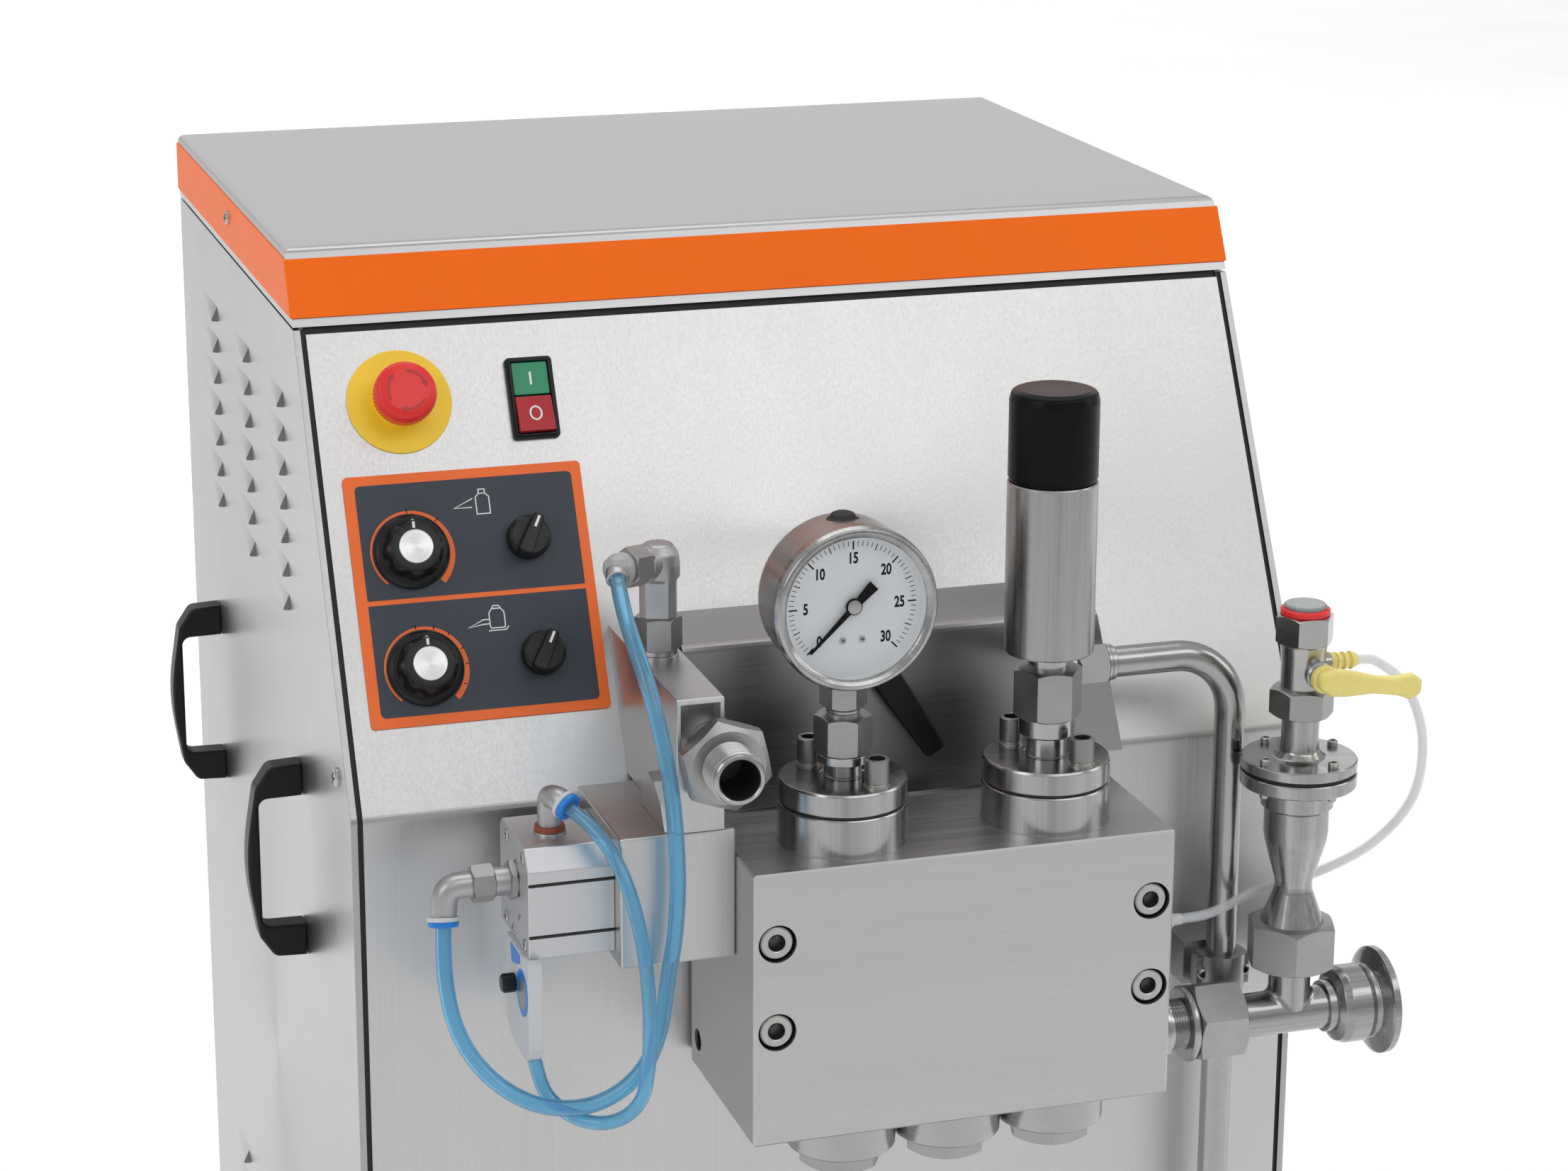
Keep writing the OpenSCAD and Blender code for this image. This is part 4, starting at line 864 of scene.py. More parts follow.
add("pictogram_flask", join(
    ribbon([(bx + a, by + b) for a, b in flask], 0.62, 1.62, 1.68, True),
    ribbon([(bx - 2.6, by + 5.0), (bx - 1.6, by + 6.6), (bx + 1.6, by + 6.6), (bx + 2.6, by + 5.0)], 0.6, 1.62, 1.68),
    ribbon([(bx - 4.8, by - 1.0), (bx - 8.0, by - 1.0), (bx - 17.0, by - 5.0), (bx - 8.0, by - 3.6), (bx - 4.8, by - 3.6)], 0.62, 1.62, 1.68),
    ribbon([(bx - 5.6, by - 7.6), (bx + 4.8, by - 7.6), (bx + 6.2, by - 5.6)], 0.6, 1.62, 1.68)), PLATE, M_WINK)


def dial(name, z):
    m, body = slope_frame(-237.8, z), name + "_dial_body"
    skirt = fil([(0, 1.9), (21.2, 1.9), (21.5, 2.4), (21.5, 4.6, 0.8), (19.6, 6.2, 1.5), (17.6, 6.8, 1), (15.0, 7.0), (0, 7.0)], 4)
    add(name + "_dial_skirt", lathe(skirt, 96), m, M_KNOB, body, replaces=name + "_dial")
    grip = fil([(0, 6.6), (17.4, 6.6), (16.8, 9.0, 1.5), (15.6, 15.4, 1.2), (14.2, 16.9, 0.8), (11.4, 17.3), (0, 17.3)], 4)
    lobes = lambda a, r, zz: 1.0 + (0.055 * math.cos(8 * a) if 7.5 < zz < 16.0 else 0.0)
    add(name + "_dial_grip", lathe(grip, 128, wave=lobes), m, M_KNOB, body, 40)
    cap = fil([(0, 17.2), (9.8, 17.2), (9.8, 17.8, 0.3), (9.4, 18.0), (0, 18.0)], 3)
    add(name + "_dial_cap", lathe(cap, 96), m, M_SPUN, body)
    line = join(moved(prism(rrect(1.5, 3.6, 0.15), 17.22, 17.38), 0, 12.6), moved(prism(rrect(1.4, 1.5, 0.1), 15.0, 15.9), 0, 15.4))
    add(name + "_dial_mark", line, m, M_WINK, body)


def selector(name, z):
    m, body = slope_frame(-169.8, z), name + "_selector_body"
    base = fil([(0, 1.9), (12.2, 1.9), (12.5, 2.3), (12.5, 8.6, 1.6), (10.6, 10.4, 1.0), (0, 10.6)], 4)
    add(name + "_selector_base", lathe(base, 72), m, M_KNOB, body, replaces=name + "_selector")
    bar = fil([(-4.6, -12.1, 2.2), (4.6, -12.1, 2.2), (3.1, 12.2, 1.2), (-3.1, 12.2, 1.2)], 4, True)
    add(name + "_selector_bar", moved(prism(bar, 8.0, 17.0, 1.0, 3, 40), rot=-28), m, M_KNOB, body, 40)
    add(name + "_selector_mark", moved(moved(prism(rrect(1.5, 7.0, 0.15), 16.98, 17.12), 0, 7.4), rot=-28), m, M_WINK, body)


dial("upper", -162.3)
dial("lower", -221.8)
selector("upper", -160.0)
selector("lower", -219.6)

# ---------------------------------------------------------------- emergency stop
EM = slope_frame(-234, -84.2)
disc = fil([(10.7, 0), (30.4, 0), (30.5, 0.4), (30.5, 1.1, 0.3), (30.1, 1.4), (15.4, 1.4), (15.4, 5.4, 0.5), (14.8, 6.0, 0.3), (10.7, 6.0)], 3)
add("estop_disc", lathe(disc, 96, True), EM, M_YELLOW, replaces="estop_plate")
dress(M_RUBBER, "estop_stem")
head = fil([(0, 16.0), (10.7, 16.0), (10.7, 11.6), (16.6, 11.6, 0.8), (17.4, 13.0, 0.6), (17.5, 17.8, 0.6), (18.0, 18.6, 0.8), (18.0, 22.0, 2.5), (16.6, 26.6, 2.6), (12.5, 28.0, 3), (0, 28.4)], 5)
ribs = lambda a, r, z: 1.0 + (0.018 * math.cos(48 * a) if (r > 17.0 and z < 18.0) else 0.0)
add("estop_mushroom", lathe(head, 192, wave=ribs), EM, M_RED, "estop_head_body", 40, "estop_head")
arrows = []
for a in (10, 130, 250):
    arrows.append(fan(10.4, 11.9, a + 78, a + 12, 28.02, 28.26, 20))
    tip = [(0, 2.1), (3.4, 0.0), (0, -2.1)]
    arrows.append(moved(moved(prism(tip, 28.02, 28.26), rot=-90), 11.15 * math.cos(rad(a + 12)), 11.15 * math.sin(rad(a + 12)), 0, a + 12))
add("estop_arrows", join(*arrows), EM, grainy("red_relief", (0.48, 0.017, 0.017), rough=(0.3, 0.45), var=0.08, metal=0.0), "estop_head_body")

# ---------------------------------------------------------------- two-button switch
SW = slope_frame(-156.5, -87.2)
rim = join(ring_prism(rrect(27.9, 48.7, 2.6), rrect(22.4, 43.2, 1.0), 0.0, 3.0, 0.5), ring_prism(rrect(25.0, 46.0, 1.8), rrect(21.9, 42.8, 0.8), 2.6, 4.6, 0.4))
add("switch_rim", rim, SW, M_BLACK, replaces="switch_frame")
# near-black well under the keys: painted shade
add("switch_well_shade", prism(rrect(22.2, 43.0, 0.8), -2.5, 0.4, 0.2), SW, M_RECESS_SHADE)
add("start_key", prism(rrect(21.2, 19.4, 0.8, 0, 11.4), -7.0, 3.4, 0.5, 2, 50), SW, M_GREEN, "start_button_body", replaces="start_button")
add("start_mark", moved(prism(rrect(1.3, 7.6, 0.2), 3.4, 3.5), 0, 11.4), SW, M_WINK, "start_button_body")
wedge = [(-20.9, -7.0), (-20.9, 8.4), (0.5, 4.6), (0.5, -7.0)]
RED = Matrix(((0, 0, 1), (1, 0, 0), (0, 1, 0))).to_4x4()
add("stop_key", prism(wedge, -10.6, 10.6, 0.6, 2, 40), SW @ RED, M_REDKEY, "stop_button_body", replaces="stop_button")
TILT = SW @ Matrix.Translation((0, -0.0102, 0.00650)) @ Matrix.Rotation(math.atan2(-3.8, 21.4), 4, "X")
add("stop_mark", ribbon([(3.3 * math.cos(t), 4.1 * math.sin(t)) for t in [2 * math.pi * q / 40 for q in range(40)]], 1.0, 0.02, 0.10, True), TILT, M_WINK, "stop_button_body")

# ---------------------------------------------------------------- pump head
softened_copy("pump_head", "head_block", M_BLOCK, 0.4, 1, 35, flat=True)
# near-black lining inside the hole in the block's left face: painted shade
add("block_hole_shade", lathe([(0, -72.4), (6.4, -72.4), (6.4, -94.4), (6.1, -94.4), (6.1, -72.8), (0, -72.8)], 48), frame_at((0, -178.8, -440.5), (1, 0, 0)), M_RECESS_SHADE)
for i, (x, z) in enumerate(((-82.3, -340.4), (-82.3, -392.2), (137.4, -340.4), (137.4, -392.2))):
    m = frame_at((x, -275.0, z), (0, -1, 0))
    socket_screw("head_bolt_%d" % (i + 1), m, 9.4, 11.8, 4.8, depth=5.0, replaces="cap_screws")
    # near-black ring in the gap round each bolt head: painted shade
    add("head_bolt_well_%d" % (i + 1), lathe([(9.7, 0.3), (10.86, 0.3), (10.86, 10.8), (10.7, 10.8), (10.7, 0.5), (9.7, 0.5)], 64, True), m, M_RECESS_SHADE)
PORTS = ((-31.0, -243.5, "left"), (89.5, -243.5, "right"))
for x, y, side in PORTS:
    low = fil([(8, -299.7), (36.6, -299.7), (36.6, -299.2), (36.3, -298.6), (36.3, -278.4, 0.6), (35.7, -277.6, 0.3), (34.9, -277.2), (34.9, -276.3), (35.5, -276.0, 0.3),
               (36.0, -275.4, 0.5), (36.0, -264.4, 0.8), (35.2, -263.0, 0.6), (14, -263.0), (13.2, -263.5), (8, -263.5)], 3)
    add("port_flange_" + side, lathe(low, 128, True), frame_at((x, y, 0)), M_FLANGE, replaces="port_flanges")
    groove = [(34.6, -277.1), (35.3, -277.1), (35.3, -276.4), (34.6, -276.4)]
    add("port_groove_" + side, lathe(groove, 96, True), frame_at((x, y, 0)), M_RUBBER)
    for j, (dx, dy) in enumerate(((-12, 23), (12, -23))):
        m = frame_at((x + dx, y + dy, -261.0))
        socket_screw("flange_screw_%s_%d" % (side, j + 1), m, 7.0, 14.0, 4.4, M_KNURL, knurl=True, depth=7.5)
        ringp = fil([(4, -2.0), (7.3, -2.0), (7.3, -1.3, 0.2), (6.5, -1.1), (6.5, 0.2), (4, 0.2)], 2)
        add("flange_washer_%s_%d" % (side, j + 1), lathe(ringp, 48, True), m, M_SCREW)
x, y, _ = PORTS[0]
stem = fil([(4, -263.3), (10.7, -263.3), (10.7, -255.6), (10.4, -255.2), (13.2, -255.0), (14.6, -254.2, 0.5), (14.6, -249.4, 0.5), (4, -249.0)], 3)
add("coupling_stem_left", lathe(stem, 72, True), frame_at((x, y, 0)), M_TURNB, replaces="port_couplings")
add("coupling_nut_left", nut(16.4, -249.2, -227.6, bore=9.0, face=14.0, roll=-19), frame_at((x, y, 0)), M_SATIN)
neck = fil([(4, -227.8), (9.6, -227.8), (9.6, -226.3, 0.3), (8.9, -225.9), (9.6, -225.4), (9.6, -224.0, 0.3), (8.9, -223.6), (8.9, -222.8), (4, -222.8)], 2)
add("coupling_neck_left", lathe(neck, 64, True), frame_at((x, y, 0)), M_TURN)
x, y, _ = PORTS[1]
stem = fil([(4, -263.3), (11.5, -263.3), (11.5, -251.4), (11.2, -251.0), (14.8, -250.8), (16.0, -249.8, 0.6), (16.0, -240.4, 0.6), (4, -240.0)], 3)
add("coupling_stem_right", lathe(stem, 72, True), frame_at((x, y, 0)), M_TURNB)
add("coupling_nut_right", nut(19.6, -240.2, -211.6, bore=10.5, face=16.6, roll=-8), frame_at((x, y, 0)), M_SATIN)
neck = fil([(4, -212.0), (11.5, -212.0), (11.5, -204.4, 0.4), (10.8, -203.6), (10.8, -202.0), (4, -202.0)], 3)
add("coupling_neck_right", lathe(neck, 72, True), frame_at((x, y, 0)), M_TURNB)
for i, x in enumerate((-32.5, 30.5, 93.5)):
    plug = fil([(0, -462.0), (23.6, -462.0), (23.6, -459.3), (30.2, -459.3), (31.0, -460.2, 0.5), (31.0, -478.8, 1.0), (29.6, -480.0, 0.5), (0, -480.0)], 3)
    add("suction_collar_%d" % (i + 1), lathe(plug, 96), frame_at((x, -250, 0)), M_TURN, replaces="suction_plugs")
    add("suction_hex_%d" % (i + 1), nut(24.5, -491.0, -479.4, face=20.8, roll=8 * i), frame_at((x, -250, 0)), M_SATIN)

# ---------------------------------------------------------------- gauge
GA = frame_at((-31.0, 0, -161.5), (0, -1, 0), -90)   # local z to the front, local y up
case = fil([(0, 226.2), (40.0, 226.2), (44.6, 227.4, 3), (45.0, 232.0), (45.0, 256.5, 0.4), (44.2, 257.6), (43.0, 258.0), (41.6, 257.0), (0, 256.8)], 5)
add("gauge_drum", lathe(case, 128), GA, M_TURN, replaces="gauge_case")
bezel = fil([(41.2, 257.8), (45.4, 257.4), (46.6, 258.8, 1.0), (46.6, 264.4, 1.6), (45.2, 267.4, 1.6), (43.0, 268.0, 1.0), (41.0, 266.6, 0.8), (40.2, 265.9), (40.2, 264.2), (41.2, 263.4)], 4)
add("gauge_bezel", lathe(bezel, 144, True), GA, M_FLANGE)
wall = [(40.1, 258.0), (41.1, 258.0), (41.1, 264.1), (40.1, 264.1)]
add("gauge_wall", lathe(wall, 96, True), GA, M_DIAL)
add("gauge_dial", lathe(fil([(0, 257.2), (40.3, 257.2), (40.3, 258.0), (39.9, 258.05), (0, 258.05)], 2), 96), GA, M_DIAL)
ticks, figures = [], []
for i in range(61):
    a = rad(135 + 90 - 4.5 * i)
    big, mid = i % 10 == 0, i % 5 == 0
    ln, wd = (4.8, 0.85) if big else ((3.9, 0.55) if mid else (2.9, 0.36))
    r = 36.4 - ln / 2
    ticks.append(moved(prism(rrect(ln, wd, 0.05, n=1), 258.04, 258.10), r * math.cos(a), r * math.sin(a), 0, math.degrees(a)))
for v in range(0, 31, 5):
    a = rad(225 - 9 * v)
    r = 26.8
    figures.append(moved(lettering(str(v), 8.6, 0.70, 258.04, 258.10), r * math.cos(a), r * math.sin(a) - 0.2))
add("gauge_ticks", join(*ticks), GA, M_INK)
add("gauge_figures", join(*figures), GA, M_INK)
for i, (u, v) in enumerate(((-5.6, -19.4), (5.6, -19.4))):
    screw_head("gauge_dial_screw_%d" % i, GA @ Matrix.Translation((u * 0.001, v * 0.001, 0.25805)), 1.9, 0.9)
dress(M_INK, "gauge_pointer")
hub = fil([(0, 261.2), (3.9, 261.2), (3.9, 261.9, 0.3), (3.0, 262.0), (2.9, 262.5, 0.3), (0, 262.7)], 3)
add("gauge_hub", lathe(hub, 48), GA, M_SCREW, "gauge_pointer_body")
dress(M_GLASS, "gauge_glass")
add("gauge_socket", nut(13.2, -222.8, -203.5, chamfer=(True, False), face=11.0, roll=-16), frame_at((-31.0, -243.5, 0)), M_SATIN)
seat = fil([(0, -118.4), (9.6, -118.4), (9.6, -117.6, 0.4), (8.0, -116.8), (7.2, -116.0, 0.6), (6.4, -114.4, 1.0), (4.0, -113.4, 1.0), (0, -113.1)], 4)
add("gauge_filler", lathe(seat, 48), frame_at((-31.0, -240.0, 0)), M_RUBBER)

# ---------------------------------------------------------------- relief valve
RX, RY = 89.5, -243.5
body = fil([(0, -202.0), (24.4, -202.0), (25.2, -201.0, 0.6), (25.2, -104.8, 0.6), (24.6, -104.0), (0, -104.0)], 4)
add("relief_barrel", lathe(body, 128), frame_at((RX, RY, 0)), M_BARREL, replaces="relief_body")
cap = fil([(0, -103.6), (24.0, -103.6), (24.4, -103.2), (24.4, -102.0), (25.0, -101.4, 0.4), (25.0, -58.5, 2.5), (23.8, -53.6, 3.2), (19.5, -52.3, 2.5), (0, -52.1)], 5)
add("relief_hood", lathe(cap, 128), frame_at((RX, RY, 0)), M_CAPBLK, "relief_cap_body", 40, "relief_cap")
route = [(RX + 4.0, -222.0, -232.8), (RX + 9.0, -210.0, -232.8), (RX + 14.0, -198.5, -232.8), (RX + 18.0, -191.6, -232.8), (RX + 23.0, -187.6, -232.8), (RX + 28.0, -186.4, -232.8)]
route += [(x, -186.4, -232.8) for x in (128, 150, 170, 191.9)]
route += [(192 + 36 * math.sin(rad(a)), -186.4, -268.8 + 36 * math.cos(rad(a))) for a in range(6, 91, 6)]
route += [(228, -186.4, z) for z in (-290, -340, -420, -520, -620, -700)]
pipe = hollow([Vector(q) for q in route], 9.0, 7.5, 40)
add("return_pipe", pipe, WORLD, M_PIPE, replaces="relief_pipe")
add("return_nut", nut(12.6, 128.0, 147.0, bore=9.0, face=10.8), frame_at((0, -186.4, -232.8), (1, 0, 0), 12), M_SATIN)
add("return_ferrule", lathe(fil([(9, 147.0), (11.2, 147.0), (11.2, 148.6, 0.4), (10.4, 149.4), (10.4, 152.0, 0.6), (9, 152.6)], 3), 48, True), frame_at((0, -186.4, -232.8), (1, 0, 0)), M_TURN)
softened_copy("pipe_clamp", "clamp_body", M_SATIN, 0.6, 2, 35)
for i, dx in enumerate((-13.5, 13.5)):
    socket_screw("clamp_screw_%d" % i, frame_at((228 + dx, -190.4, -432.5), (0, -1, 0)), 3.4, 3.2, 1.6)

# ---------------------------------------------------------------- homogenizing valve and outlet
softened_copy("valve_housing", "valve_block", M_VALVE, 0.5, 1, 35, flat=True)
softened_copy("outlet_block", "outlet_body", M_VALVE, 0.5, 1, 35, flat=True)
OUT = frame_at((-104.0, 0, -243.5), (0, -1, 0), 12)
add("outlet_nut", nut(26.6, 254.4, 269.0, bore=15.0, face=20.8, tilt=34), OUT, M_SATIN, replaces="outlet_union")
thread = [(11.6, 253.6), (15.0, 253.6)]
for i in range(13):
    z = 268.6 + 1.45 * i
    thread += [(15.2, z), (15.2, z + 0.35), (14.35, z + 0.9)]
thread += [(14.4, 288.6), (13.7, 289.5), (12.2, 289.95), (11.6, 289.4)]
add("outlet_stub", lathe(thread, 96, True), OUT, M_TURN, smooth=25)
# the stub's bore in dark steel: painted shade inside
add("outlet_bore_shade", lathe([(11.58, 254.0), (11.5, 288.6), (11.3, 288.6), (11.3, 256.0), (0, 255.6)], 72), OUT, M_SOCKET_SHADE)
softened_copy("air_cylinder", "cylinder_body", M_ALU, 0.45, 1, 30, flat=True)
grooves = [prism([(-243.15, z - 0.5), (-243.15, z + 0.5), (-241.6, z + 0.5), (-241.6, z - 0.5)], -209.7, -161.7) for z in (-309.5, -339.5)]
add("cylinder_grooves", join(*grooves), ALONG_X, M_RUBBER)
for i, (y, z) in enumerate(((-194.5, -296.6), (-231.4, -297.0), (-191.0, -345.9), (-234.3, -346.6))):
    socket_screw("cylinder_screw_%d" % i, frame_at((-209.8, y, z), (-1, 0, 0)), 3.6, 1.4, 2.0, depth=1.0)
for i, (y, z) in enumerate(((-223.2, -335.0), (-206.9, -346.6))):
    screw_head("cylinder_stop_%d" % i, frame_at((-209.9, y, z), (-1, 0, 0)), 2.2, 0.9)

# push-in elbows of the air line
def elbow(name, path, r, square=0.0, mat=M_CAST, seg=28):
    sec = []
    for i in range(seg):
        a = 2 * math.pi * i / seg
        q = 1.0 / max(abs(math.cos(a)), abs(math.sin(a))) if square else 1.0
        sec.append((r * math.cos(a) * (1 + square * (q - 1)), r * math.sin(a) * (1 + square * (q - 1))))
    return add(name, sweep(smooth_path(path, 5), sec, up=(0, 1, 0.01)), WORLD, mat, smooth=45)


TF = frame_at((-116.5, -173, 0))
add("top_fitting_seat", lathe(fil([(0, -208.0), (11.5, -208.0), (11.5, -206.4, 0.5), (10.6, -205.8), (10.6, -203.4, 0.3), (11.3, -202.6), (0, -202.6)], 3), 56), TF, M_TURN, replaces="air_fittings")
add("top_fitting_hex", nut(13.4, -202.8, -184.2, face=11.4, roll=-14), TF, M_SATIN)
stand = fil([(0, -184.4), (11.6, -184.4), (12.2, -183.6, 0.5), (12.4, -178.0, 3), (12.4, -163.4), (12.3, -161.0), (12.2, -154.0, 4), (11.4, -147.6, 5), (8.0, -142.6, 4), (0, -140.9)], 5)
square = lambda a, r, z: (0.93 / max(abs(math.cos(a - 0.45)), abs(math.sin(a - 0.45)), 0.80 * (abs(math.cos(a - 0.45)) + abs(math.sin(a - 0.45)))) if z < -163 else 1.0)
add("top_fitting_stand", lathe(stand, 144, wave=square), TF, M_CAST, smooth=28)
d = Vector((-10.5, -5.0, 0.5)).normalized()
TB = frame_at((-116.5, -173, -153.3), tuple(d))
add("top_fitting_branch", lathe(fil([(0, 4.0), (10.6, 4.0), (10.6, 11.4, 0.6), (0, 12.0)], 4), 56), TB, M_CAST)
add("top_fitting_nut", nut(11.5, 9.6, 23.4, face=9.8, roll=8), TB, M_SATIN)
add("top_fitting_end", lathe(fil([(0, 23.0), (8.4, 23.0), (9.0, 25.0, 1.5), (9.0, 30.0, 3), (6.8, 35.0, 3), (0, 37.0)], 5), 48), TB, clear("clear_fitting_end", (0.80, 0.82, 0.83), weight=0.6, rough=(0.08, 0.2)), smooth=60)
t0 = (Vector(ROUTE1[1]) - Vector(ROUTE1[0])).normalized()
add("top_fitting_collet", lathe(fil([(4.9, -7.6), (5.8, -7.6), (6.5, -3.0, 1), (6.5, 0.4, 0.5), (5.8, 0.9), (4.9, 0.9)], 3), 40, True), frame_at(ROUTE1[0], tuple(t0)), M_CAST)

add("port_washer", lathe(fil([(0, -291.0), (9.2, -291.0), (9.2, -289.8, 0.3), (8.8, -289.4), (0, -289.4)], 2), 48), frame_at((-190, -212, 0)), M_TURN)
add("port_ring", lathe(fil([(0, -289.5), (8.5, -289.5), (8.7, -288.0, 0.6), (8.3, -286.2), (0, -286.2)], 3), 48), frame_at((-190, -212, 0)), M_COPPER)
t2 = (Vector(ROUTE2[1]) - Vector(ROUTE2[0])).normalized()
q2 = Vector(ROUTE2[0]) - t2 * 9
elbow("port_elbow", [(-190, -212, -286.6), (-190, -212, -279), (-190, -212.3, -272.5), (-188.9, -215.5, -269.4), tuple(q2 + t2 * 1.0), tuple(q2 + t2 * 4.5)], 6.7, 0.18)


def collet(name, p, t, r, pale_first, b0=3.9):
    m = frame_at(p, tuple(t))
    a = fil([(b0, -4.6), (r, -4.6), (r + 0.2, -3.8, 0.3), (r + 0.2, -2.6, 0.3), (r - 0.3, -2.2), (b0, -2.2)], 2)
    b = fil([(b0 + 0.1, -2.3), (r - 0.5, -2.3), (r, -1.8, 0.3), (r, 0.4, 0.5), (r - 0.9, 1.0), (b0 + 1.1, 1.0, 0.4), (b0 + 0.7, 0.2), (b0 + 0.1, 0.2)], 2)
    add(name + "_pale_ring", lathe([(q + (0.9 if q > b0 + 0.5 else 0), z) for q, z in a], 48, True), m, M_WHITE)
    add(name + "_blue_ring", lathe([(q + (0.5 if q > b0 + 1.5 else 0), z) for q, z in b], 48, True), m, M_BLUE)


collet("port_collet", ROUTE2[0], t2, 7.5, False)
add("end_flange_nut", nut(11.8, 210.0, 214.0, face=10.0), frame_at((0, -212, -316.5), (-1, 0, 0)), M_SATIN)
add("end_fitting_neck", lathe(fil([(0, 213.6), (8.2, 213.6), (8.2, 222.4, 0.6), (0, 223)], 3), 40), frame_at((0, -212, -316.5), (-1, 0, 0)), M_CAST)
add("end_fitting_hex", nut(10.6, 222.5, 235.0, face=9.0), frame_at((0, -212, -316.5), (-1, 0, 0), 10), M_SATIN)
t1 = (Vector(ROUTE1[-2]) - Vector(ROUTE1[-1])).normalized()
elbow("end_elbow", [(-234.4, -212, -316.5), (-239, -212, -316.4), (-245.0, -212, -317.2), (-249.0, -212, -321.4), tuple(Vector(ROUTE1[-1]) - t1 * 4.4)], 7.3, 0.15)
collet("end_collet", ROUTE1[-1], t1, 8.0, True, 4.4)

# slim regulator under the cylinder
softened_copy("regulator", "regulator_body", M_WHITE, 1.6, 3, 40)
REG = Matrix.Translation(P(-212.5, 0, 0)) @ Matrix(((0, 0, -1), (-1, 0, 0), (0, 1, 0))).to_4x4()   # local (-y, z, -x)
oval = [(236.0 + 12.6 * math.cos(t), -373.6 + 13.4 * math.sin(t)) for t in [2 * math.pi * q / 48 for q in range(48)]]
hole = [(236.4 + 8.4 * math.cos(t), -374.2 + 9.2 * math.sin(t)) for t in [2 * math.pi * q / 48 for q in range(48)]]
add("regulator_oval", ring_prism(oval, hole, -0.05, 0.25), REG, M_BLUE)
add("regulator_window", prism([(236.4 + 8.2 * math.cos(t), -374.2 + 9.0 * math.sin(t)) for t in [2 * math.pi * q / 40 for q in range(40)]], -0.05, 0.4, 0.15), REG, M_SATIN)
add("regulator_patch", prism(fil([(209.5, -353.4, 0.8), (231.5, -353.4, 0.8), (232.6, -358.0, 1.5), (224.0, -361.4, 6), (212.0, -364.4, 1)], 3, True), -0.05, 0.2), REG, M_BLUE)
knob = fil([(0, 212.8), (5.0, 212.8), (5.2, 213.4), (5.2, 219.4, 0.8), (4.2, 220.5), (0, 220.5)], 3)
add("regulator_dial", lathe(knob, 72, wave=lambda a, r, z: 1.0 + (0.05 * math.cos(12 * a) if r > 4.5 else 0)), frame_at((0, -219, -374), (-1, 0, 0)), M_KNOB, "regulator_knob_body", replaces="regulator_knob")

# ---------------------------------------------------------------- product inlet
AX = frame_at((0, -225.8, -447), (1, 0, 0))
collar = fil([(12.5, 150.7), (19.6, 150.7), (19.6, 170.6, 0.5), (18.4, 171.4), (18.4, 173.6, 0.4), (15.0, 174.2), (15.0, 176.0)] +
             [q for i in range(8) for q in ((15.2, 176.4 + 1.6 * i), (14.2, 177.3 + 1.6 * i))] + [(14.0, 190.4), (12.5, 190.4)], 2)
add("inlet_nipple", lathe(collar, 72, True), AX, M_TURNB, replaces="inlet_unions", smooth=28)
add("inlet_lock_ring", lathe(fil([(14.6, 185.6), (21.6, 185.6, 0.6), (22.4, 187.2, 0.6), (22.4, 188.8, 0.6), (21.4, 190.2), (14.6, 190.2)], 3), 72, True), AX, M_TURN)
add("inlet_nut", nut(24.6, 190.2, 221.0, bore=13.4, face=20.6), frame_at((0, -225.8, -447), (1, 0, 0), 9), M_SATIN)
VX, VY = 254.8, -225.8
VA = frame_at((VX, VY, 0))
run = fil([(10.5, 197.0), (13.0, 197.0), (13.0, 276.0), (15.2, 276.2, 0.4), (15.4, 281.0), (17.0, 281.0, 0.6), (21.4, 283.5, 2), (23.2, 288.0, 3), (23.2, 300.0, 1.5), (21.5, 303.0, 1.5), (21.5, 306.0, 2),
           (30.0, 309.0, 0.5), (32.0, 310.0, 0.5), (32.0, 313.9, 0.5), (31.4, 314.0), (19.6, 314.0, 0.4), (19.0, 313.4), (19.0, 284.5), (10.5, 284.5)], 4)
add("inlet_run", lathe(run, 128, True), AX, M_FLANGE, replaces="inlet_tee")
add("inlet_branch", lathe(fil([(10.0, -447.0), (12.4, -447.0), (12.4, -411.6, 0.4), (10.0, -411.0)], 3), 72, True), VA, M_FLANGE)
blends = []
for sg in (-1, 1):
    rows = []
    for k in range(25):
        a = rad(-84.0 + 7.0 * k)
        x, y = 12.4 * math.cos(a), 12.4 * math.sin(a)
        h = -447.0 + math.sqrt(13.0 ** 2 - y * y)
        f = 5.0 * math.cos(a) ** 0.6
        arc = [(sg * (x + f * t * t), y, h + f * (1 - t) ** 2) for t in [i / 8.0 for i in range(9)]]
        row = arc + [(sg * (x - 0.6), y * 0.97, h - 0.6)]
        rows.append(row if sg > 0 else row[::-1])
    blends.append(rows_mesh(rows))
add("inlet_blend", join(*blends), VA, M_FLANGE, smooth=50)
add("branch_nut", nut(27.4, -417.0, -389.0, bore=12.6, face=23.0, roll=12), VA, M_SATIN)
cone = fil([(10, -410.0), (20.2, -410.0), (20.6, -396.4, 1.5), (19.6, -392.0, 6), (11.2, -369.4, 9), (10.9, -366.4, 2), (11.2, -363.4, 9), (18.2, -338.0, 6), (18.9, -333.0, 2), (18.9, -318.6, 0.5),
            (18.3, -317.6), (20.6, -317.2, 0.4), (21.2, -316.6, 0.4), (21.2, -304.2, 0.5), (33.4, -303.5), (34.0, -302.8, 0.5), (34.0, -296.2, 0.5), (33.4, -295.5), (10, -295.5)], 5)
add("venturi_cone", lathe(cone, 96, True), VA, M_CONE, replaces="venturi")
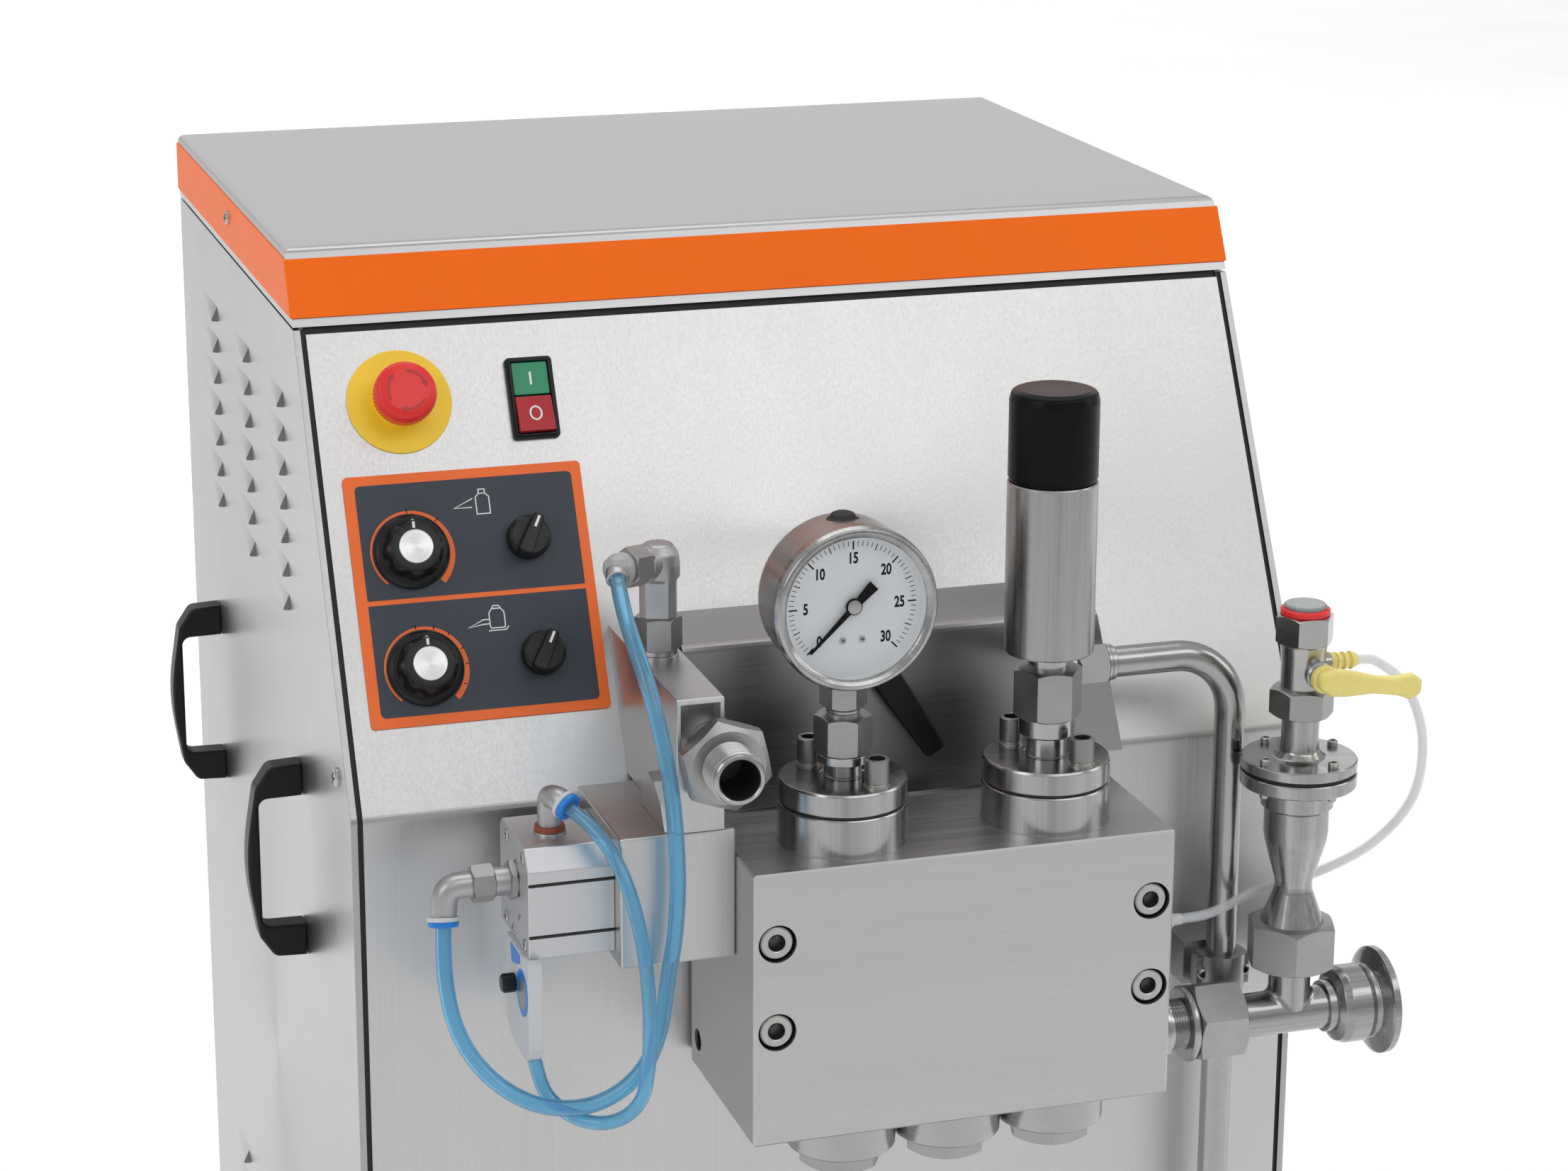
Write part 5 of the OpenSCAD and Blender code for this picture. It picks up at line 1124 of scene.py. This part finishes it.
riser = fil([(9, -293.5), (33.4, -293.5), (34.0, -292.8, 0.5), (34.0, -287.8, 0.5), (33.2, -287.0), (15.0, -287.0, 3), (11.4, -283.0, 4), (11.0, -276.0), (11.0, -246.0), (9, -246.0)], 5)
add("vent_stem", lathe(riser, 96, True), VA, M_CONE, replaces="vent_riser")
for i, a in enumerate((20, 110, 200, 290)):
    socket_screw("vent_screw_%d" % i, frame_at((VX + 27.5 * math.cos(rad(a)), VY + 27.5 * math.sin(rad(a)), -287.0)), 3.1, 3.6, 1.7)
    tailp = fil([(0, -303.4), (2.6, -303.4), (2.6, -307.0, 0.3), (2.0, -307.6), (0, -307.6)], 2)
    add("vent_screw_end_%d" % i, lathe(tailp, 24), frame_at((VX + 27.5 * math.cos(rad(a)), VY + 27.5 * math.sin(rad(a)), 0)), M_SCREW)
add("vent_nut", nut(18.8, -262.0, -245.0, bore=10.8, face=15.6, roll=-16), VA, M_SATIN)
barrel = fil([(9, -245.4), (12.4, -245.4), (12.8, -244.6, 0.4), (12.8, -230.0, 6), (13.6, -219.0, 2), (14.2, -217.8), (9, -217.6)], 4)
add("vent_barrel", lathe(barrel, 72, True), VA, M_TURNB, replaces="vent_valve")
add("vent_hex", nut(17.4, -218.0, -200.6, face=14.8, roll=-6), VA, M_TURNB)
side = fil([(0, -1.0), (7.2, -1.0), (7.2, 12.0, 0.4), (8.0, 13.0), (8.0, 16.0, 0.5), (6.8, 17.2, 0.5), (6.8, 20.2), (0, 20.2)], 3)
add("vent_side_port", lathe(side, 48), frame_at((VX + 3, -225.8, -234), (0, -1, 0)), M_TURN)
add("vent_hose_port", lathe(fil([(0, 262.0), (6.0, 262.0), (6.0, 271.0, 0.5), (5.2, 272.2), (0, 272.2)], 3), 40), frame_at((0, -225, -232), (1, 0, 0)), M_TURN)
ringp = fil([(0, -200.8), (14.0, -200.8), (14.4, -200.2, 0.4), (14.4, -197.8, 0.8), (13.2, -196.8), (12.4, -197.0), (0, -197.0)], 3)
add("vent_red_ring", lathe(ringp, 72), VA, M_RED, replaces="vent_cap")
add("vent_lens", lathe(fil([(0, -197.0), (12.2, -197.0), (12.4, -195.6, 0.6), (11.4, -194.7, 0.6), (0, -194.5)], 3), 72), VA, clear("grey_lens", (0.50, 0.54, 0.54), weight=0.5, rough=(0.05, 0.15)))
add("vent_spring", lathe([(4.2, -196.9), (6.6, -196.9), (6.6, -196.4), (4.2, -196.4)], 40, True), VA, M_SCREW)
LEV = Matrix.Translation(P(VX + 3, -250.2, -234)) @ Matrix.Rotation(rad(8), 4, "Y") @ Matrix.Rotation(rad(90), 4, "X")
grip = fil([(-7.0, -3.5, 5), (-7.0, 4.5, 5), (2, 8.2, 5), (14, 7.4, 12), (30, 5.2, 16), (42, 5.6, 10), (52, 8.0, 4), (58, 5.0, 3), (58.6, -3.0, 4), (53, -7.6, 3), (44, -5.4, 6), (28, -5.0, 14), (12, -7.6, 12), (2, -8.2, 6)], 5, True)
add("vent_grip", prism(grip, 0.0, 7.8, 2.6, 3, 40), LEV, M_PALE, "vent_lever_body", 45, "vent_lever")
add("vent_grip_hub", lathe(fil([(0, 246.5), (8.0, 246.5), (8.2, 247.2), (8.2, 251.0, 0.8), (0, 252)], 3), 40), frame_at((VX + 3, 0, -234), (0, -1, 0)), M_PALE, "vent_lever_body")
barb = [(0, 271.6), (5.6, 271.6), (5.6, 274.6), (4.2, 275.2)]
for i in range(3):
    barb += [(5.4, 275.6 + 4.5 * i), (5.0, 277.0 + 4.5 * i), (4.0, 279.2 + 4.5 * i)]
barb += [(3.6, 289.0), (0, 289.0)]
add("vent_barb", lathe(barb, 48), frame_at((0, -225, -232), (1, 0, 0)), M_PALE, replaces="hose_barbs", smooth=40)
block_barb = fil([(0, 150.6), (6.6, 150.6), (6.6, 152.0, 0.4), (6.0, 157.6, 0.4), (5.2, 158.4), (4.0, 158.8), (4.0, 173.0), (5.0, 174.2, 0.5), (4.6, 177.6), (3.6, 178.6), (3.2, 184.0), (0, 184.0)], 2)
add("block_barb", lathe(block_barb, 48), frame_at((0, -225, -381), (1, 0, 0)), M_WHITE)

# ---------------------------------------------------------------- feet
for i, (x, y) in enumerate(((-238, -118), (238, -118), (-238, 362), (238, 362))):
    m = frame_at((x, y, -1150))
    pad = fil([(0, 0), (28.6, 0), (30.0, 1.2, 0.6), (30.0, 10.0, 1.5), (27.0, 12.6, 3), (14.0, 20.6, 4), (12.0, 22.0), (0, 22.0)], 4)
    add("foot_pad_%d" % i, lathe(pad, 64), m, M_RUBBER, replaces="levelling_feet")
    stud = [(0, 20.0), (8.0, 20.0)] + [q for j in range(33) for q in ((8.0, 22.0 + 2.0 * j), (7.3, 23.0 + 2.0 * j))] + [(8.0, 99.9), (0, 99.9)]
    add("foot_stud_%d" % i, lathe(stud, 40), m, M_SCREW, smooth=25)
    add("foot_nut_%d" % i, nut(15.0, 86.0, 99.9, bore=8.0, face=12.6), m, M_SATIN)

# ---------------------------------------------------------------- stage and light
def floor_mesh():
    bm = bmesh.new()
    s = 60.0
    v = [bm.verts.new((a * s, b * s, 0.0)) for a, b in ((-1, -1), (1, -1), (1, 1), (-1, 1))]
    bm.faces.new(v)
    me = bpy.data.meshes.new("studio_floor")
    bm.to_mesh(me)
    bm.free()
    fl = Mat("pale_floor", Metallic=0.0)
    n = fl.noise(fl.coords((3, 3, 3)), 1.0, 3.0, 0.5)
    fl.colour(n, (0.925, 0.925, 0.925), (0.945, 0.945, 0.945))
    fl.rough(n, 0.75, 0.85)
    me.materials.append(fl.m)
    o = bpy.data.objects.new("studio_floor", me)
    COL.objects.link(o)


floor_mesh()
world = bpy.data.worlds.new("studio")
SCENE.world = world
world.use_nodes = True
wt = world.node_tree
bg = wt.nodes["Background"]
tc = wt.nodes.new("ShaderNodeTexCoord")
sp = wt.nodes.new("ShaderNodeSeparateXYZ")
wt.links.new(tc.outputs["Generated"], sp.inputs[0])
mr = wt.nodes.new("ShaderNodeMapRange")
mr.inputs["From Min"].default_value = -1.0
mr.inputs["From Max"].default_value = 1.0
wt.links.new(sp.outputs[2], mr.inputs["Value"])
rp = wt.nodes.new("ShaderNodeValToRGB")
rp.color_ramp.elements[0].position = 0.5
rp.color_ramp.elements[0].color = (0.56, 0.56, 0.565, 1)
rp.color_ramp.elements[1].position = 0.9
rp.color_ramp.elements[1].color = (0.80, 0.80, 0.81, 1)
wt.links.new(mr.outputs[0], rp.inputs[0])
wt.links.new(rp.outputs[0], bg.inputs["Color"])
bg.inputs["Strength"].default_value = 0.75


def softbox(name, at, aim, w, h, power, tint=(1, 1, 1), gloss=True):
    d = bpy.data.lights.new(name, "AREA")
    d.shape = "RECTANGLE"
    d.size, d.size_y = w, h
    d.energy = power
    d.color = tint
    o = bpy.data.objects.new(name, d)
    COL.objects.link(o)
    o.location = at
    o.rotation_mode = "QUATERNION"
    o.rotation_quaternion = (Vector(aim) - Vector(at)).to_track_quat("-Z", "Y")
    o.visible_glossy = gloss
    return o


softbox("key_light", (1.05, -2.75, 3.35), (0.0, -0.1, 1.0), 3.6, 1.3, 20)
softbox("left_light", (-3.0, -1.6, 2.7), (0, -0.1, 0.9), 1.6, 1.8, 18)
softbox("right_light", (3.2, -0.9, 2.2), (0, -0.1, 0.9), 1.2, 2.0, 11)
softbox("top_light", (0.1, 0.4, 3.8), (0, 0.0, 0.9), 2.4, 1.6, 17)
softbox("back_light", (0.6, 6.5, 3.0), (0, 0.2, 1.0), 10.0, 3.0, 50)
softbox("floor_wash", (0.4, 5.0, 5.4), (0.4, 5.0, 0.0), 6.0, 6.0, 150, gloss=False)
softbox("far_wash", (2.0, 17.0, 11.0), (2.0, 17.0, 0.0), 16.0, 12.0, 1300, gloss=False)
SCENE.view_settings.view_transform = "Standard"
SCENE.view_settings.look = "None"
SCENE.view_settings.exposure = 0.0
